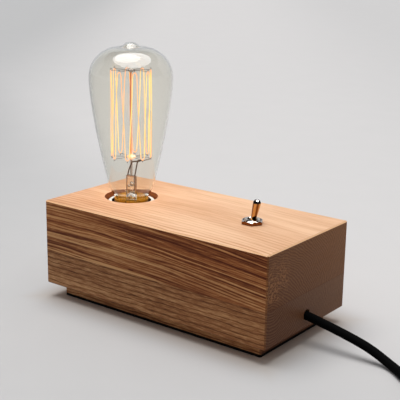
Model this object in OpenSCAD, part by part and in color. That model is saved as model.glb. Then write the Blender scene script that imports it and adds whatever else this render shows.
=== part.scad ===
// Bare bulb table lamp: a routed wood block on a set-back plinth, a porcelain screw lamp holder sunk in
// its top with a long clear filament bulb, a toggle switch and a mains lead.
// Millimetres. Origin on the table under the block's centre, +X to the lead's end, +Y to the back, +Z up.

/* [Wood block] */
// Length of the block along X
block_l = 206; // [200:1:240]
// Width of the block along Y
block_w = 104; // [98:1:130]
// Thickness of the lower board
lower_h = 27; // [25:0.5:34]
// Thickness of the upper board
upper_h = 40; // [36:0.5:48]
// Chamfer along the block's edges
edge_ease = 0.9; // [0.3:0.1:2]
// Wood left above the cavity
ceiling_t = 16; // [14:0.5:20]
// Wood left beside the cavity at the bulb's end
wall_left = 19; // [16:0.5:21]
// Wood left beside the cavity at the lead's end
wall_right = 25; // [20:0.5:30]
// Wood left beside the cavity at the front and the back
wall_side = 24; // [20:0.5:25]

/* [Plinth] */
// Step from the block's sides in to the plinth's
plinth_inset = 10; // [6:0.5:12]
// Thickness of the plinth board
plinth_t = 9; // [8:0.5:14]
// Thickness of the foot pad
pad_t = 2; // [1:0.5:4]
// Distance of the plinth screws from the plinth's ends
screw_end = 8; // [7:0.5:9]
// Distance of the plinth screws from the plinth's sides
screw_side = 8; // [7:0.5:9]
// Diameter of the plinth screws' shanks
plinth_screw_d = 4; // [3.5:0.1:4.5]
// Length of the plinth screws
plinth_screw_l = 28; // [20:1:32]

/* [Bulb] */
// Distance of the bulb from the block's end
bulb_end = 42.5; // [41:0.5:47]
// Diameter of the hole round the lamp holder
bulb_hole_d = 41.7; // [40:0.1:44]
// Largest diameter of the glass
glass_d = 64; // [60:0.5:66]
// Height of the glass's dome above the block
glass_h = 117; // [112:0.5:124]
// Height of the glass's widest point above the block
glass_wide_h = 93.5; // [88:0.5:98]
// Diameter of the glass's neck at its knee
neck_d = 35.2; // [33:0.2:36]
// Height of the tip on the dome
tip_h = 3.6; // [2:0.1:5]
// Wall of the glass
glass_t = 0.8; // [0.5:0.1:1.2]
// Height of the screw cap, its contact included
cap_h = 24.8; // [24:0.1:26]
// Mean radius of the cap's thread
thread_r = 12.64; // [12.5:0.01:12.7]
// Half depth of the thread
thread_e = 0.53; // [0.4:0.01:0.55]
// Pitch of the thread
thread_p = 3.629; // [3.5:0.01:3.8]
// Free space between the cap's thread and the holder's
thread_gap = 0.35; // [0.3:0.01:0.5]
// Height of the filament's lower ends above the block
filament_low = 32; // [30:0.5:36]
// Height of the filament's upper ends above the block
filament_high = 99; // [90:0.5:101]
// Radius of the circle the filament hangs on
filament_r = 15.4; // [12:0.1:17]
// Number of hooks at each end of the filament
hook_count = 8; // [5:1:10]
// Thickness of the filament
filament_d = 0.5; // [0.3:0.1:0.8]

/* [Lamp holder] */
// Outer diameter of the porcelain
holder_d = 37.6; // [36:0.1:39]
// Diameter of the porcelain's mouth
mouth_d = 30.6; // [30.2:0.1:32]
// Height of the porcelain
holder_h = 44; // [43:0.5:48]
// Depth of the porcelain's rim below the block's top
holder_sink = 3; // [2:0.5:4]
// Width of the bracket strip
bracket_w = 26; // [22:0.5:30]
// Thickness of the bracket strip
bracket_t = 1.5; // [1.2:0.1:2]
// Distance between the bracket's legs, outside
bracket_l = 32; // [30:0.5:34]

/* [Toggle switch] */
// Distance of the switch from the block's other end
switch_end = 49.3; // [49:0.1:53]
// Place of the switch along Y, from the block's middle
switch_y = 1.2; // [-3:0.1:3]
// Wood left above the switch's pocket
web_t = 6; // [5:0.5:8]
// Diameter of the bushing
bushing_d = 12; // [11.6:0.1:12.4]
// Diameter of the bushing's bore
bushing_bore = 7.6; // [7.6:0.1:8]
// Bushing left above the nut
bushing_up = 0.7; // [0.3:0.1:1.5]
// Size of the nut across its corners
nut_d = 17; // [16:0.1:18]
// Height of the nut
nut_h = 2.8; // [2.4:0.1:3.5]
// Length of the lever from its pivot to the centre of its tip
lever_l = 18.7; // [16:0.1:21]
// Diameter of the lever's tip
lever_tip_d = 5.7; // [5:0.1:6.4]
// Diameter of the lever above the bushing
lever_neck_d = 4; // [3.6:0.1:4.2]
// Lean of the lever from upright, each way
lever_lean = 12; // [9:0.5:12]
// Tilt of the rocking contact, each way
rocker_tilt = 8; // [6:0.5:8]
// Length of the switch's case along X
case_l = 27; // [26:0.5:30]
// Width of the switch's case along Y
case_w = 16.5; // [16:0.5:19]
// Height of the switch's case
case_h = 18; // [18:0.5:20]

/* [Lead] */
// Diameter of the lead
cord_d = 6.4; // [6:0.1:6.8]
// Diameter of the hole it leaves by
cord_hole_d = 8; // [7.6:0.1:9]
// Height of that hole above the block's underside
cord_hole_up = 10; // [9:0.5:11]
// Diameter of the insulated wires inside
wire_d = 2.2; // [1.6:0.1:2.4]
// Length of the cord clamp along X
clamp_l = 12; // [10:0.5:16]
// Width of the cord clamp along Y
clamp_w = 28; // [26:0.5:32]

/* [Hidden] */
$fn = 64;

// gaps and overlaps
seat = 0.3;       // free space between pieces that move on each other
snug = 0.1;       // free space round a fixed screw or blade
touch = 0.05;     // free space between fine wires that touch
wire_gap = 0.2;   // free space between a wire's end and the face it meets
foot_gap = 1;     // free space between the bracket's feet and the cavity's walls
cut = 1;          // how far a cutting shape runs past a face

// heights
z_block = pad_t + plinth_t;
z_joint = z_block + lower_h;
z_top = z_joint + upper_h;
z_ceiling = z_top - ceiling_t;

// cavity
cavity_x0 = -block_l / 2 + wall_left;
cavity_x1 = block_l / 2 - wall_right;
cavity_y = block_w / 2 - wall_side;
bulb_x = -block_l / 2 + bulb_end;
switch_x = block_l / 2 - switch_end;

// plinth
plinth_l = block_l - 2 * plinth_inset;
plinth_w = block_w - 2 * plinth_inset;
plinth_screw_x = plinth_l / 2 - screw_end;
plinth_screw_y = plinth_w / 2 - screw_side;
screw_head_d = 2 * plinth_screw_d;

// bulb, its cap and its holder
rim_drop = 0.6;
z_cap = z_top - rim_drop;
z_contact = z_cap - cap_h;
cap_sides = 24;
rows_per_turn = 6;
cap_wall = 0.41;
cap_bore_r = thread_r - thread_e - cap_wall;
cap_floor_r = 8;
contact_r = 4.6;
z_cap_floor = z_contact + 4.4;
z_thread = z_cap_floor + 1.4;
cap_turns = 4;
z_collar = z_thread + cap_turns * thread_p + 1;
collar_r = thread_r + 0.68;
glass_neck_r = cap_bore_r - 0.5;
z_glass = z_cap - 14;
stem_r = glass_neck_r - 0.2;
stem_tube_r = 4;
stem_wall = 1;
stem_flare_h = 12;

z_holder = z_top - holder_sink;
z_holder_base = z_holder - holder_h;
z_socket = z_contact - 3.2;
shell_bore = thread_r + thread_gap;
shell_r = shell_bore + thread_e + 0.63;
shell_turns = 5;
shell_top = z_socket + shell_turns * thread_p + 2;
socket_r = shell_r + 0.15;
terminal_in = 10.3;
terminal_out = 17;
terminal_w = 8;
z_terminal = z_socket - 13;
terminal_h = 7.4;
strap_w = 6;
strap_t = 0.6;
strap_y = shell_bore + thread_e - strap_t / 2;
leaf_y = shell_bore - thread_e - 0.9;
z_terminal_bore = z_terminal + 2.2;
z_terminal_screw = z_terminal + 5.2;
holder_screw_x = 7.5;
holder_screw_d = 3.5;
bracket_foot = cavity_y - bracket_l / 2 - foot_gap;
terminal_screw_d = 2.4;
foot_screw_d = 3.5;
foot_screw_l = 7;
holder_screw_depth = 8;
foot_screw_y = bracket_l / 2 + bracket_foot / 2;

// filament cage and the glass stem
z_cage0 = z_top + filament_low;
z_cage1 = z_top + filament_high;
hook_step = 360 / hook_count;
hook_shift = 11;
hook_turn = 7;
hub_r = 2.2;
rod_r = 1;
support_d = 0.5;
z_pinch0 = z_top + 5;
z_pinch1 = z_top + 17;
pinch_w = 9;
pinch_t = 4;
lead_d = 0.8;

// toggle switch
z_web = z_top - web_t;
washer_t = 0.8;
frame_t = 0.8;
flange_t = 1;
flange_r = bushing_d / 2 + 1.2;
z_case = z_web - washer_t - frame_t;
z_case_base = z_case - case_h;
z_bushing = z_top + nut_h + bushing_up;
pivot_drop = 1;
z_pivot = z_top - pivot_drop;
lever_ball_r = bushing_bore / 2 - 0.4;
pin_r = 0.75;
stem_d = 3.4;
stem_drop = 12;
plunger_seat = 5;
plunger_r = 1.4;
z_rocker = z_case_base + 5.8;
rocker_rise = 8;
rocker_arm = 8;
rocker_w = 6;
rocker_t = 0.8;
ridge_r = 0.8;
rocker_groove = ridge_r + snug;
rocker_hub_r = rocker_groove + 0.4;
rocker_top = rocker_hub_r - 0.1;
plunger_reach = z_pivot - z_rocker - rocker_hub_r - seat;
rocker_rest = z_rocker + rocker_top - rocker_t - 0.2;
blade_w = 6;
blade_t = 0.8;
blade_drop = 10;
contact_x = 6.5;
case_wall = 3;
pocket_gap = 4;
switch_hole_gap = 0.3;

// lead inside the block
z_cord_hole = z_block + cord_hole_up;
z_cord = z_cord_hole - (cord_hole_d - cord_d) / 2 + snug;
clamp_x = cavity_x1 - 10 - clamp_l;
clamp_gap = 0.4;
clamp_screw_d = 3.5;
clamp_screw_depth = 7;
clamp_top = 7;
clamp_screw_y = clamp_w / 2 - 5;
jacket_end = clamp_x - 6;
wire_y = 1.4;
wire_bend = 5;
wire_swing = 10;
wire_deep = 6;
wire_high = 23;
wire_side = cavity_y - 3.5;

// the lead's route, chosen by hand: out of the block, down to the table and off to the coil
cord_sides = 10;
cord_route = [
    [78, 0, 20.3], [84, 0, 20.3], [90, 0, 20.3], [97, 0, 20.3], [103, 0, 20.2], [112, 0, 18.7],
    [122, 0, 16.8], [132, 0, 14.8], [142, 0, 12.5], [150, 0, 10.4], [158, -0.2, 7.6], [165, -1, 5],
    [171, -3, 3.6], [176, -5.8, 3.3], [181, -9.4, 3.3], [188, -14.9, 3.3], [196, -21.1, 3.3]
];
// the stretch that climbs from the coil to the plug
tail_route = [
    [221, -37.5, 12.6], [231, -39.5, 14.8], [240.5, -39.5, 16.3], [250.5, -37, 16.5], [259.5, -32.5, 16.5],
    [267, -26.5, 16.5], [273, -18.5, 16.8], [277, -10, 17.4], [279, -1, 18.2], [278.5, 8, 19.1],
    [275.2, 16, 19.8], [271, 21.2, 20], [268.1, 24, 20]
];
coil_x = 239;
coil_y = 6;
coil_r0 = 25.2;
coil_r1 = 51.2;
coil_h = 13;
tie_angle = 160;
tie_w = 12;
tie_t = 0.8;
plug_turn = 136;
plug_x = 268;
plug_y = 24.1;
z_plug = 20;
relief_l = 24;
plug_l = 30;
plug_w = 35;
plug_h = 13.6;
pin_l = 19;
plug_pin_d = 4;
plug_pin_gap = 18.6;

// ---- helpers ----

// points along a cubic curve in the plane, both ends included
function bezier(a, b, c, d, n) =
    [for (i = [0:n]) let (t = i / n, u = 1 - t) u*u*u * a + 3*u*u*t * b + 3*u*t*t * c + t*t*t * d];

function unit(v) = v / norm(v);
function flat(rows) = [for (row = rows) for (p = row) p];

// a line of points moved sideways by d, to the left of its direction
function beside(line, d) = [for (i = [0:len(line) - 1])
    let (a = line[max(i - 1, 0)], b = line[min(i + 1, len(line) - 1)], u = unit(b - a))
    line[i] + d * [-u[1], u[0]]];

// direction of a route at point i
function heading(route, i) =
    unit(route[min(i + 1, len(route) - 1)] - route[max(i - 1, 0)]);

// a route made smooth: steps points on each span of a curve through all its points
function smooth(route, steps) = [
    for (i = [0:len(route) - 2])
        let (a = route[max(i - 1, 0)], b = route[i], c = route[i + 1], d = route[min(i + 2, len(route) - 1)])
        for (k = [0:steps - (i == len(route) - 2 ? 0 : 1)])
            let (t = k / steps)
            0.5 * (2 * b + (c - a) * t + (2 * a - 5 * b + 4 * c - d) * t*t + (3 * b - a - 3 * c + d) * t*t*t)
];

// ring of points round a route's point, standing across its heading
function ring_at(route, i, r, sides) =
    let (h = heading(route, i), s = unit(cross([0.01, 0.02, 1], h)), u = cross(h, s))
    [for (k = [0:sides - 1]) let (a = 360 * k / sides) route[i] + r * (cos(a) * s + sin(a) * u)];

// round tube swept along a route
module tube(route, d, sides) {
    n = len(route);
    side_faces = [for (i = [0:n - 2]) for (k = [0:sides - 1])
        let (a = i * sides + k, b = i * sides + (k + 1) % sides)
        [a, b, b + sides, a + sides]];
    caps = [[for (k = [sides - 1:-1:0]) k], [for (k = [0:sides - 1]) (n - 1) * sides + k]];
    triangles = [for (f = side_faces) for (t = [[f[0], f[1], f[2]], [f[0], f[2], f[3]]]) [t[2], t[1], t[0]]];
    ends = [for (f = caps) [for (k = [len(f) - 1:-1:0]) f[k]]];
    polyhedron(flat([for (i = [0:n - 1]) ring_at(route, i, d / 2, sides)]), concat(triangles, ends), 4);
}

// closed section carried round the Z axis: sections holds one list of [r, z] for each of its sides
module threaded_ring(sections) {
    n = len(sections);
    m = len(sections[0]);
    points = [for (j = [0:n - 1]) let (a = 360 * j / n)
        for (p = sections[j]) [p[0] * cos(a), p[0] * sin(a), p[1]]];
    faces = [for (j = [0:n - 1]) for (k = [0:m - 1])
        let (here = j * m, next = ((j + 1) % n) * m, up = (k + 1) % m)
        for (t = [[here + k, here + up, next + up], [here + k, next + up, next + k]]) t];
    polyhedron(points, faces, 4);
}

// point of a right-hand round thread at an angle and a height; at its ends z0 and z1 it fades away
// from its mate, outwards with side 1 and inwards with side -1
function thread_at(r, side, angle, z, z0, z1) =
    let (fade = min(1, min(z - z0, z1 - z) / (thread_p / 3)))
    [r + thread_e * (fade * cos(angle - 360 * (z - z_socket) / thread_p) + (1 - fade) * side), z];

// wood screw pointing down from the origin, with a countersunk or a domed head
module wood_screw(d, head_d, length, countersunk) {
    head_h = (head_d - d) / 2;
    difference() {
        union() {
            translate([0, 0, -length + d])
                cylinder(d = d, h = length - d);
            translate([0, 0, -length])
                cylinder(d1 = d / 5, d2 = d, h = d);
            if (countersunk)
                translate([0, 0, -head_h])
                    cylinder(d1 = d, d2 = head_d, h = head_h);
            else
                cylinder(d1 = head_d, d2 = head_d * 0.7, h = head_h);
        }
        cross_recess(d, countersunk ? 0 : head_h);
    }
}

// cross recess in a screw head whose top is at height z
module cross_recess(d, z) {
    for (a = [0, 90])
        translate([0, 0, z])
            rotate(a)
                cube([d * 0.95, d * 0.22, d * 0.7], center = true);
}

// board with eased upright edges and, where asked, eased top or bottom edges
module board(l, w, z, h, ease_top, ease_bottom) {
    difference() {
        translate([0, 0, z])
            linear_extrude(h)
                polygon(eased_outline(l, w));
        if (ease_top)
            translate([0, 0, z + h])
                edge_cuts(l, w);
        if (ease_bottom)
            translate([0, 0, z])
                edge_cuts(l, w);
    }
}

function eased_outline(l, w) =
    let (x = l / 2, y = w / 2, e = edge_ease)
    [[x - e, -y], [x, -y + e], [x, y - e], [x - e, y], [-x + e, y], [-x, y - e], [-x, -y + e], [-x + e, -y]];

// four bars turned on their edges that cut a chamfer round a rectangle
module edge_cuts(l, w) {
    side = edge_ease * sqrt(2);
    for (s = [-1, 1]) {
        translate([0, s * w / 2, 0])
            rotate([45, 0, 0])
                cube([l + 2 * cut, side, side], center = true);
        translate([s * l / 2, 0, 0])
            rotate([0, 45, 0])
                cube([side, w + 2 * cut, side], center = true);
    }
}

module at_bulb() { translate([bulb_x, 0, 0]) children(); }
module at_switch() { translate([switch_x, switch_y, 0]) children(); }
module at_pivot() { translate([switch_x, switch_y, z_pivot]) rotate([0, lever_lean, 0]) children(); }
module at_rocker() { translate([switch_x, switch_y, z_rocker]) rotate([0, -rocker_tilt, 0]) children(); }
module at_plinth_screws() {
    for (x = [-1, 1], y = [-1, 1])
        translate([x * plinth_screw_x, y * plinth_screw_y, 0])
            children();
}
module at_foot_screws() {
    for (s = [-1, 1])
        translate([bulb_x, s * foot_screw_y, z_block + bracket_t])
            children();
}
module at_clamp_screws() {
    for (s = [-1, 1])
        translate([clamp_x + clamp_l / 2, s * clamp_screw_y, z_cord + clamp_top])
            children();
}
module at_plug() { translate([plug_x, plug_y, z_plug]) rotate(plug_turn) children(); }

// the cavity routed into the block, from z0 up to z1
module cavity(z0, z1) {
    translate([cavity_x0, -cavity_y, z0])
        cube([cavity_x1 - cavity_x0, 2 * cavity_y, z1 - z0]);
}

// ---- wood ----

module upper_board() {
    color("burlywood")
        difference() {
            board(block_l, block_w, z_joint, upper_h, true, false);
            cavity(z_joint - cut, z_ceiling);
            at_bulb()
                translate([0, 0, z_ceiling - cut])
                    cylinder(d = bulb_hole_d, h = ceiling_t + 2 * cut, $fn = 96);
            at_switch() {
                translate([-case_l / 2 - pocket_gap, -case_w / 2 - pocket_gap, z_ceiling - cut])
                    cube([case_l + 2 * pocket_gap, case_w + 2 * pocket_gap, z_web - z_ceiling + cut]);
                cylinder(d = bushing_d + switch_hole_gap, h = z_top + cut);
            }
        }
}

module lower_board() {
    color("peru")
        difference() {
            board(block_l, block_w, z_block, lower_h, false, true);
            cavity(z_block - cut, z_joint + cut);
            translate([cavity_x1 - cut, 0, z_cord_hole])
                rotate([0, 90, 0])
                    cylinder(d = cord_hole_d, h = wall_right + 2 * cut);
            translate([0, 0, z_block - cut])
                at_plinth_screws()
                    cylinder(d = plinth_screw_d + 2 * snug, h = plinth_screw_l - plinth_t + 2 * cut);
        }
}

module plinth_board() {
    head_h = (screw_head_d - plinth_screw_d) / 2;
    color("burlywood")
        difference() {
            board(plinth_l, plinth_w, pad_t, plinth_t, false, false);
            at_plinth_screws() {
                cylinder(d = plinth_screw_d + 2 * snug, h = z_block + cut);
                translate([0, 0, pad_t])
                    cylinder(d1 = screw_head_d + 2 * snug, d2 = plinth_screw_d + 2 * snug, h = head_h);
            }
            translate([0, 0, -bracket_t])
                at_foot_screws()
                    translate([0, 0, -foot_screw_l])
                        cylinder(d = foot_screw_d + 2 * snug, h = foot_screw_l + cut);
            translate([0, 0, z_block - clamp_screw_depth - z_cord - clamp_top])
                at_clamp_screws()
                    cylinder(d = clamp_screw_d + 2 * snug, h = clamp_screw_depth + cut);
        }
}

module foot_pad() {
    color([0.04, 0.04, 0.04])
        difference() {
            board(plinth_l, plinth_w, 0, pad_t, false, false);
            translate([0, 0, -cut])
                at_plinth_screws()
                    cylinder(d = screw_head_d + 1, h = pad_t + 2 * cut);
        }
}

module plinth_screws() {
    color("goldenrod")
        translate([0, 0, pad_t])
            at_plinth_screws()
                rotate([180, 0, 0])
                    wood_screw(plinth_screw_d, screw_head_d, plinth_screw_l, true);
}

// ---- lamp holder ----

module holder_body() {
    bevel = 1;
    color("white")
        at_bulb()
            difference() {
                rotate_extrude($fn = 96)
                    polygon([
                        [0, z_holder_base], [holder_d / 2 - bevel, z_holder_base],
                        [holder_d / 2, z_holder_base + bevel], [holder_d / 2, z_holder - bevel],
                        [holder_d / 2 - bevel, z_holder], [0, z_holder]
                    ]);
                translate([0, 0, shell_top + seat])
                    cylinder(d = mouth_d, h = z_holder - shell_top);
                translate([0, 0, z_socket])
                    cylinder(r = socket_r, h = holder_h);
                for (s = [-1, 1]) {
                    translate([-terminal_w / 2 - 1, s > 0 ? terminal_in - 0.3 : -holder_d, z_terminal - 0.3])
                        cube([terminal_w + 2, holder_d - terminal_in + 0.3, terminal_h + 2.3]);
                    translate([holder_screw_x * s, 0, z_holder_base - cut])
                        cylinder(d = holder_screw_d + 2 * snug, h = holder_screw_depth + cut);
                }
                strip_slot(strap_y);
                strip_slot(-leaf_y);
            }
}

// slot in the socket's floor for a contact strip at distance y
module strip_slot(y) {
    translate([-strap_w / 2 - snug, y - strap_t / 2 - 2 * snug, z_terminal + 1])
        cube([strap_w + 2 * snug, strap_t + 4 * snug, z_socket - z_terminal]);
}

module holder_screw_shell() {
    z0 = z_socket + 1;
    z1 = z0 + shell_turns * thread_p;
    rows = shell_turns * rows_per_turn;
    color("goldenrod")
        at_bulb()
            threaded_ring([for (j = [0:cap_sides - 1]) let (angle = 360 * j / cap_sides) concat(
                [[shell_r, z_socket], [shell_r, shell_top], [shell_bore + thread_e, shell_top]],
                [for (k = [rows:-1:0]) thread_at(shell_bore, 1, angle, z0 + (z1 - z0) * k / rows, z0, z1)],
                [[shell_bore + thread_e, z_socket]]
            )]);
}

module holder_shell_strap() {
    color("gold")
        at_bulb()
            translate([-strap_w / 2, strap_y - strap_t / 2, z_terminal + terminal_h])
                cube([strap_w, strap_t, z_socket - z_terminal - terminal_h]);
}

module holder_contact_leaf() {
    top = z_contact - seat;
    flat_z = z_socket + 0.5;
    t = strap_t;
    color("gold")
        at_bulb()
            translate([-strap_w / 2, 0, 0])
                rotate([90, 0, 90])
                    linear_extrude(strap_w)
                        polygon([
                            [-leaf_y - t / 2, z_terminal + terminal_h],
                            [-leaf_y + t / 2, z_terminal + terminal_h],
                            [-leaf_y + t / 2, flat_z], [-5, flat_z], [-1.5, top - t], [1.5, top - t],
                            [4, top - 1.6 - t], [4, top - 1.6], [1.8, top], [-1.8, top],
                            [-5, flat_z + t], [-leaf_y - t / 2, flat_z + t]
                        ]);
}

module holder_terminals() {
    color("goldenrod")
        at_bulb()
            for (s = [-1, 1])
                difference() {
                    translate([-terminal_w / 2, s > 0 ? terminal_in : -terminal_out, z_terminal])
                        cube([terminal_w, terminal_out - terminal_in, terminal_h]);
                    translate([0, s * (terminal_out - 4), z_terminal_screw])
                        rotate([-90 * s, 0, 0])
                            cylinder(d = terminal_screw_d + 2 * snug, h = 5);
                }
}

module terminal_screws() {
    color("silver")
        at_bulb()
            for (s = [-1, 1])
                translate([0, s * terminal_out, z_terminal_screw])
                    rotate([-90 * s, 0, 0])
                        machine_screw(terminal_screw_d, 3.8, 3.6);
}

// screw with a flat head standing on the origin and a plain shank below it
module machine_screw(d, head_d, length) {
    head_h = d * 0.5;
    difference() {
        union() {
            cylinder(d = head_d, h = head_h);
            translate([0, 0, -length])
                cylinder(d = d, h = length);
        }
        translate([0, 0, head_h])
            cube([head_d + cut, d * 0.25, head_h], center = true);
    }
}

module holder_bracket() {
    rise = z_holder_base - z_block;
    y0 = bracket_l / 2;
    y1 = y0 + bracket_foot;
    t = bracket_t;
    color("lightsteelblue")
        difference() {
            translate([bulb_x - bracket_w / 2, 0, z_block])
                rotate([90, 0, 90])
                    linear_extrude(bracket_w)
                        polygon([
                            [-y1, 0], [-y0 + t, 0], [-y0 + t, rise - t],
                            [y0 - t, rise - t], [y0 - t, 0], [y1, 0], [y1, t], [y0, t],
                            [y0, rise], [-y0, rise], [-y0, t], [-y1, t]
                        ]);
            for (s = [-1, 1])
                translate([bulb_x + s * holder_screw_x, 0, z_holder_base - t - cut])
                    cylinder(d = holder_screw_d + 2 * snug, h = t + 2 * cut);
            translate([0, 0, -t - cut])
                at_foot_screws()
                    cylinder(d = foot_screw_d + 2 * snug, h = t + 2 * cut);
        }
}

module bracket_screws() {
    color("silver")
        at_foot_screws()
            wood_screw(foot_screw_d, 2 * foot_screw_d, foot_screw_l + bracket_t, false);
}

module holder_screws() {
    color("silver")
        for (s = [-1, 1])
            translate([bulb_x + s * holder_screw_x, 0, z_holder_base - bracket_t])
                rotate([180, 0, 0])
                    machine_screw(holder_screw_d, 6.6, holder_screw_depth + bracket_t - 1);
}

// ---- bulb ----

// outline of the glass from its neck to its tip, as [r, z]
glass_outline = let (z = z_top, r = glass_d / 2, knee = neck_d / 2) concat(
    [[glass_neck_r, z_glass], [glass_neck_r, z - 5]],
    bezier([12.2, z - 0.9], [14.5, z + 1.2], [knee - 0.7, z + 6.2], [knee, z + 9], 7),
    [for (i = [1:12]) bezier([knee, z + 9], [knee + 7, z + glass_wide_h * 0.396],
        [r, z + glass_wide_h * 0.79], [r, z + glass_wide_h], 12)[i]],
    [for (i = [1:10]) bezier([r, z + glass_wide_h], [r, z + glass_wide_h + 14],
        [r * 0.64, z + glass_h], [5.6, z + glass_h - 0.4], 10)[i]],
    [for (i = [1:4]) bezier([5.6, z + glass_h - 0.4], [3.6, z + glass_h],
        [3.4, z + glass_h + tip_h], [0, z + glass_h + tip_h], 4)[i]]
);

module bulb_glass() {
    inner = beside(glass_outline, glass_t);
    last = len(inner) - 1;
    color([0.85, 0.92, 0.9, 0.35])
        at_bulb()
            rotate_extrude($fn = 72)
                polygon(concat(
                    glass_outline,
                    [[0, inner[last][1] - 0.5]],
                    [for (i = [last - 3:-1:0]) [max(inner[i][0], 0.4), inner[i][1]]]
                ));
}

module bulb_cap_shell() {
    z1 = z_thread + cap_turns * thread_p;
    rows = cap_turns * rows_per_turn;
    color("goldenrod")
        at_bulb()
            threaded_ring([for (j = [0:cap_sides - 1]) let (angle = 360 * j / cap_sides) concat(
                [[cap_floor_r, z_cap_floor], [cap_bore_r - 0.6, z_cap_floor]],
                [for (k = [0:rows])
                    thread_at(thread_r, -1, angle, z_thread + (z1 - z_thread) * k / rows, z_thread, z1)],
                [[collar_r, z_collar + 0.8], [collar_r, z_cap], [collar_r - cap_wall, z_cap],
                    [collar_r - cap_wall, z_collar + 1], [cap_bore_r, z_collar - 0.6],
                    [cap_bore_r, z_cap_floor + 1.4], [cap_bore_r - 0.8, z_cap_floor + cap_wall],
                    [cap_floor_r, z_cap_floor + cap_wall]]
            )]);
}

module bulb_cap_insulator() {
    color([0.08, 0.07, 0.07])
        at_bulb()
            rotate_extrude()
                polygon([
                    [contact_r + snug, z_contact + 0.8], [contact_r + 1.2, z_contact + 0.8],
                    [cap_bore_r - 1.2, z_cap_floor], [cap_floor_r - snug, z_cap_floor],
                    [cap_floor_r - snug, z_cap_floor + 1.4], [contact_r + snug, z_cap_floor + 1.4]
                ]);
}

module bulb_cap_contact() {
    color("silver")
        at_bulb()
            rotate_extrude()
                polygon([
                    [0, z_contact], [contact_r - 1.8, z_contact], [contact_r, z_contact + 0.8],
                    [contact_r, z_contact + 2], [0, z_contact + 2]
                ]);
}

module bulb_stem() {
    tube_r = stem_tube_r;
    z_flare = z_glass - seat - 1.2;
    color([0.85, 0.92, 0.9, 0.35])
        at_bulb() {
            rotate_extrude()
                polygon([
                    [tube_r - stem_wall, z_flare + 1.2 * stem_wall], [stem_r - stem_wall, z_flare],
                    [stem_r, z_flare], [stem_r, z_flare + stem_wall],
                    [stem_r - 2.5 * stem_wall, z_flare + 2 * stem_wall],
                    [tube_r + stem_wall, z_flare + 0.6 * stem_flare_h], [tube_r, z_flare + stem_flare_h],
                    [tube_r, z_pinch0 + stem_wall], [tube_r - stem_wall, z_pinch0 + stem_wall]
                ]);
            translate([-pinch_w / 2, -pinch_t / 2, z_pinch0])
                cube([pinch_w, pinch_t, z_pinch1 - z_pinch0]);
        }
}

module centre_rod() {
    color([0.9, 0.55, 0.3, 0.6])
        at_bulb() {
            translate([0, 0, z_pinch1])
                cylinder(r = rod_r, h = z_cage1 + 1 - z_pinch1);
            for (z = [z_cage0, z_cage1])
                translate([0, 0, z])
                    sphere(r = hub_r, $fn = 32);
        }
}

function hook_point(k, z, shift) =
    let (a = k * hook_step + shift) [filament_r * cos(a), filament_r * sin(a), z];

// spokes from a hub to just inside the filament's hooks, each with a small upturned end
module supports(hub_z, shift, lift) {
    inside = 1 - (filament_d / 2 + support_d / 2 + touch) / filament_r;
    for (k = [0:hook_count - 1]) {
        p = hook_point(k, hub_z, shift);
        start = p * (hub_r + touch) / filament_r;
        tube([
            [start[0], start[1], hub_z], [p[0] * 0.9, p[1] * 0.9, hub_z + lift / 4],
            [p[0] * inside, p[1] * inside, hub_z + lift / 2], [p[0] * inside, p[1] * inside, hub_z + lift]
        ], support_d, 6);
    }
}

module top_supports() {
    color([0.35, 0.33, 0.3])
        at_bulb()
            supports(z_cage1, hook_turn, 1.6);
}

module bottom_supports() {
    color([0.35, 0.33, 0.3])
        at_bulb()
            supports(z_cage0, hook_turn + hook_shift, -1.6);
}

// a hook's three points: up one strand, round the hook and into the next strand
function hook(k, z, shift, down) =
    let (p = hook_point(k, z, shift), side = unit([-p[1], p[0], 0]) * filament_d * 1.2)
    [p + side + [0, 0, down], p, p - side + [0, 0, down]];

module filament() {
    bend = 2 * filament_d;
    hooks = [for (k = [0:-1:1 - hook_count]) concat(
        hook(k, z_cage1, hook_turn, -bend),
        hook(k - 1, z_cage0, hook_turn + hook_shift, bend)
    )];
    first = hook_point(0, z_cage0, hook_turn + hook_shift);
    color([1, 0.72, 0.25])
        at_bulb()
            tube(concat([first], flat(hooks)), filament_d, 6);
}

module lead_wires() {
    foot = 2.6;
    bend_z = z_cage0 - 2.4;
    reach = 1 - (filament_d + lead_d) / filament_r;
    ends = [for (k = [-1, 0]) hook_point(k, bend_z, hook_turn + hook_shift) * reach];
    color([0.25, 0.2, 0.17])
        at_bulb()
            for (s = [0, 1]) {
                x = s > 0 ? foot : -foot;
                tube([
                    [x, 0, z_pinch1 + wire_gap], [x * 1.1, s > 0 ? -0.6 : 0.6, z_pinch1 + 4],
                    [x * 1.2, s > 0 ? -2 : 2, bend_z - 1], [x * 1.5, s > 0 ? -2.6 : 2.6, bend_z],
                    [ends[1 - s][0], ends[1 - s][1], bend_z]
                ], lead_d, 8);
            }
}

// ---- toggle switch ----

module switch_case() {
    color([0.25, 0.13, 0.08])
        at_switch()
            difference() {
                translate([-case_l / 2, -case_w / 2, z_case_base])
                    cube([case_l, case_w, case_h]);
                difference() {
                    translate([-case_l / 2 + case_wall, -case_w / 2 + case_wall, z_case_base + case_wall])
                        cube([case_l - 2 * case_wall, case_w - 2 * case_wall, case_h]);
                    translate([contact_x - 1, -rocker_w / 2, z_case_base])
                        cube([2, rocker_w, rocker_rest - z_case_base]);
                }
                translate([0, 0, z_case - flange_t - snug])
                    cylinder(r = flange_r + 2 * snug, h = case_h);
                for (x = [0, -contact_x])
                    translate([x - blade_t / 2 - snug, -blade_w / 2 - snug, z_case_base - cut])
                        cube([blade_t + 2 * snug, blade_w + 2 * snug, case_wall + 2 * cut]);
            }
}

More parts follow.
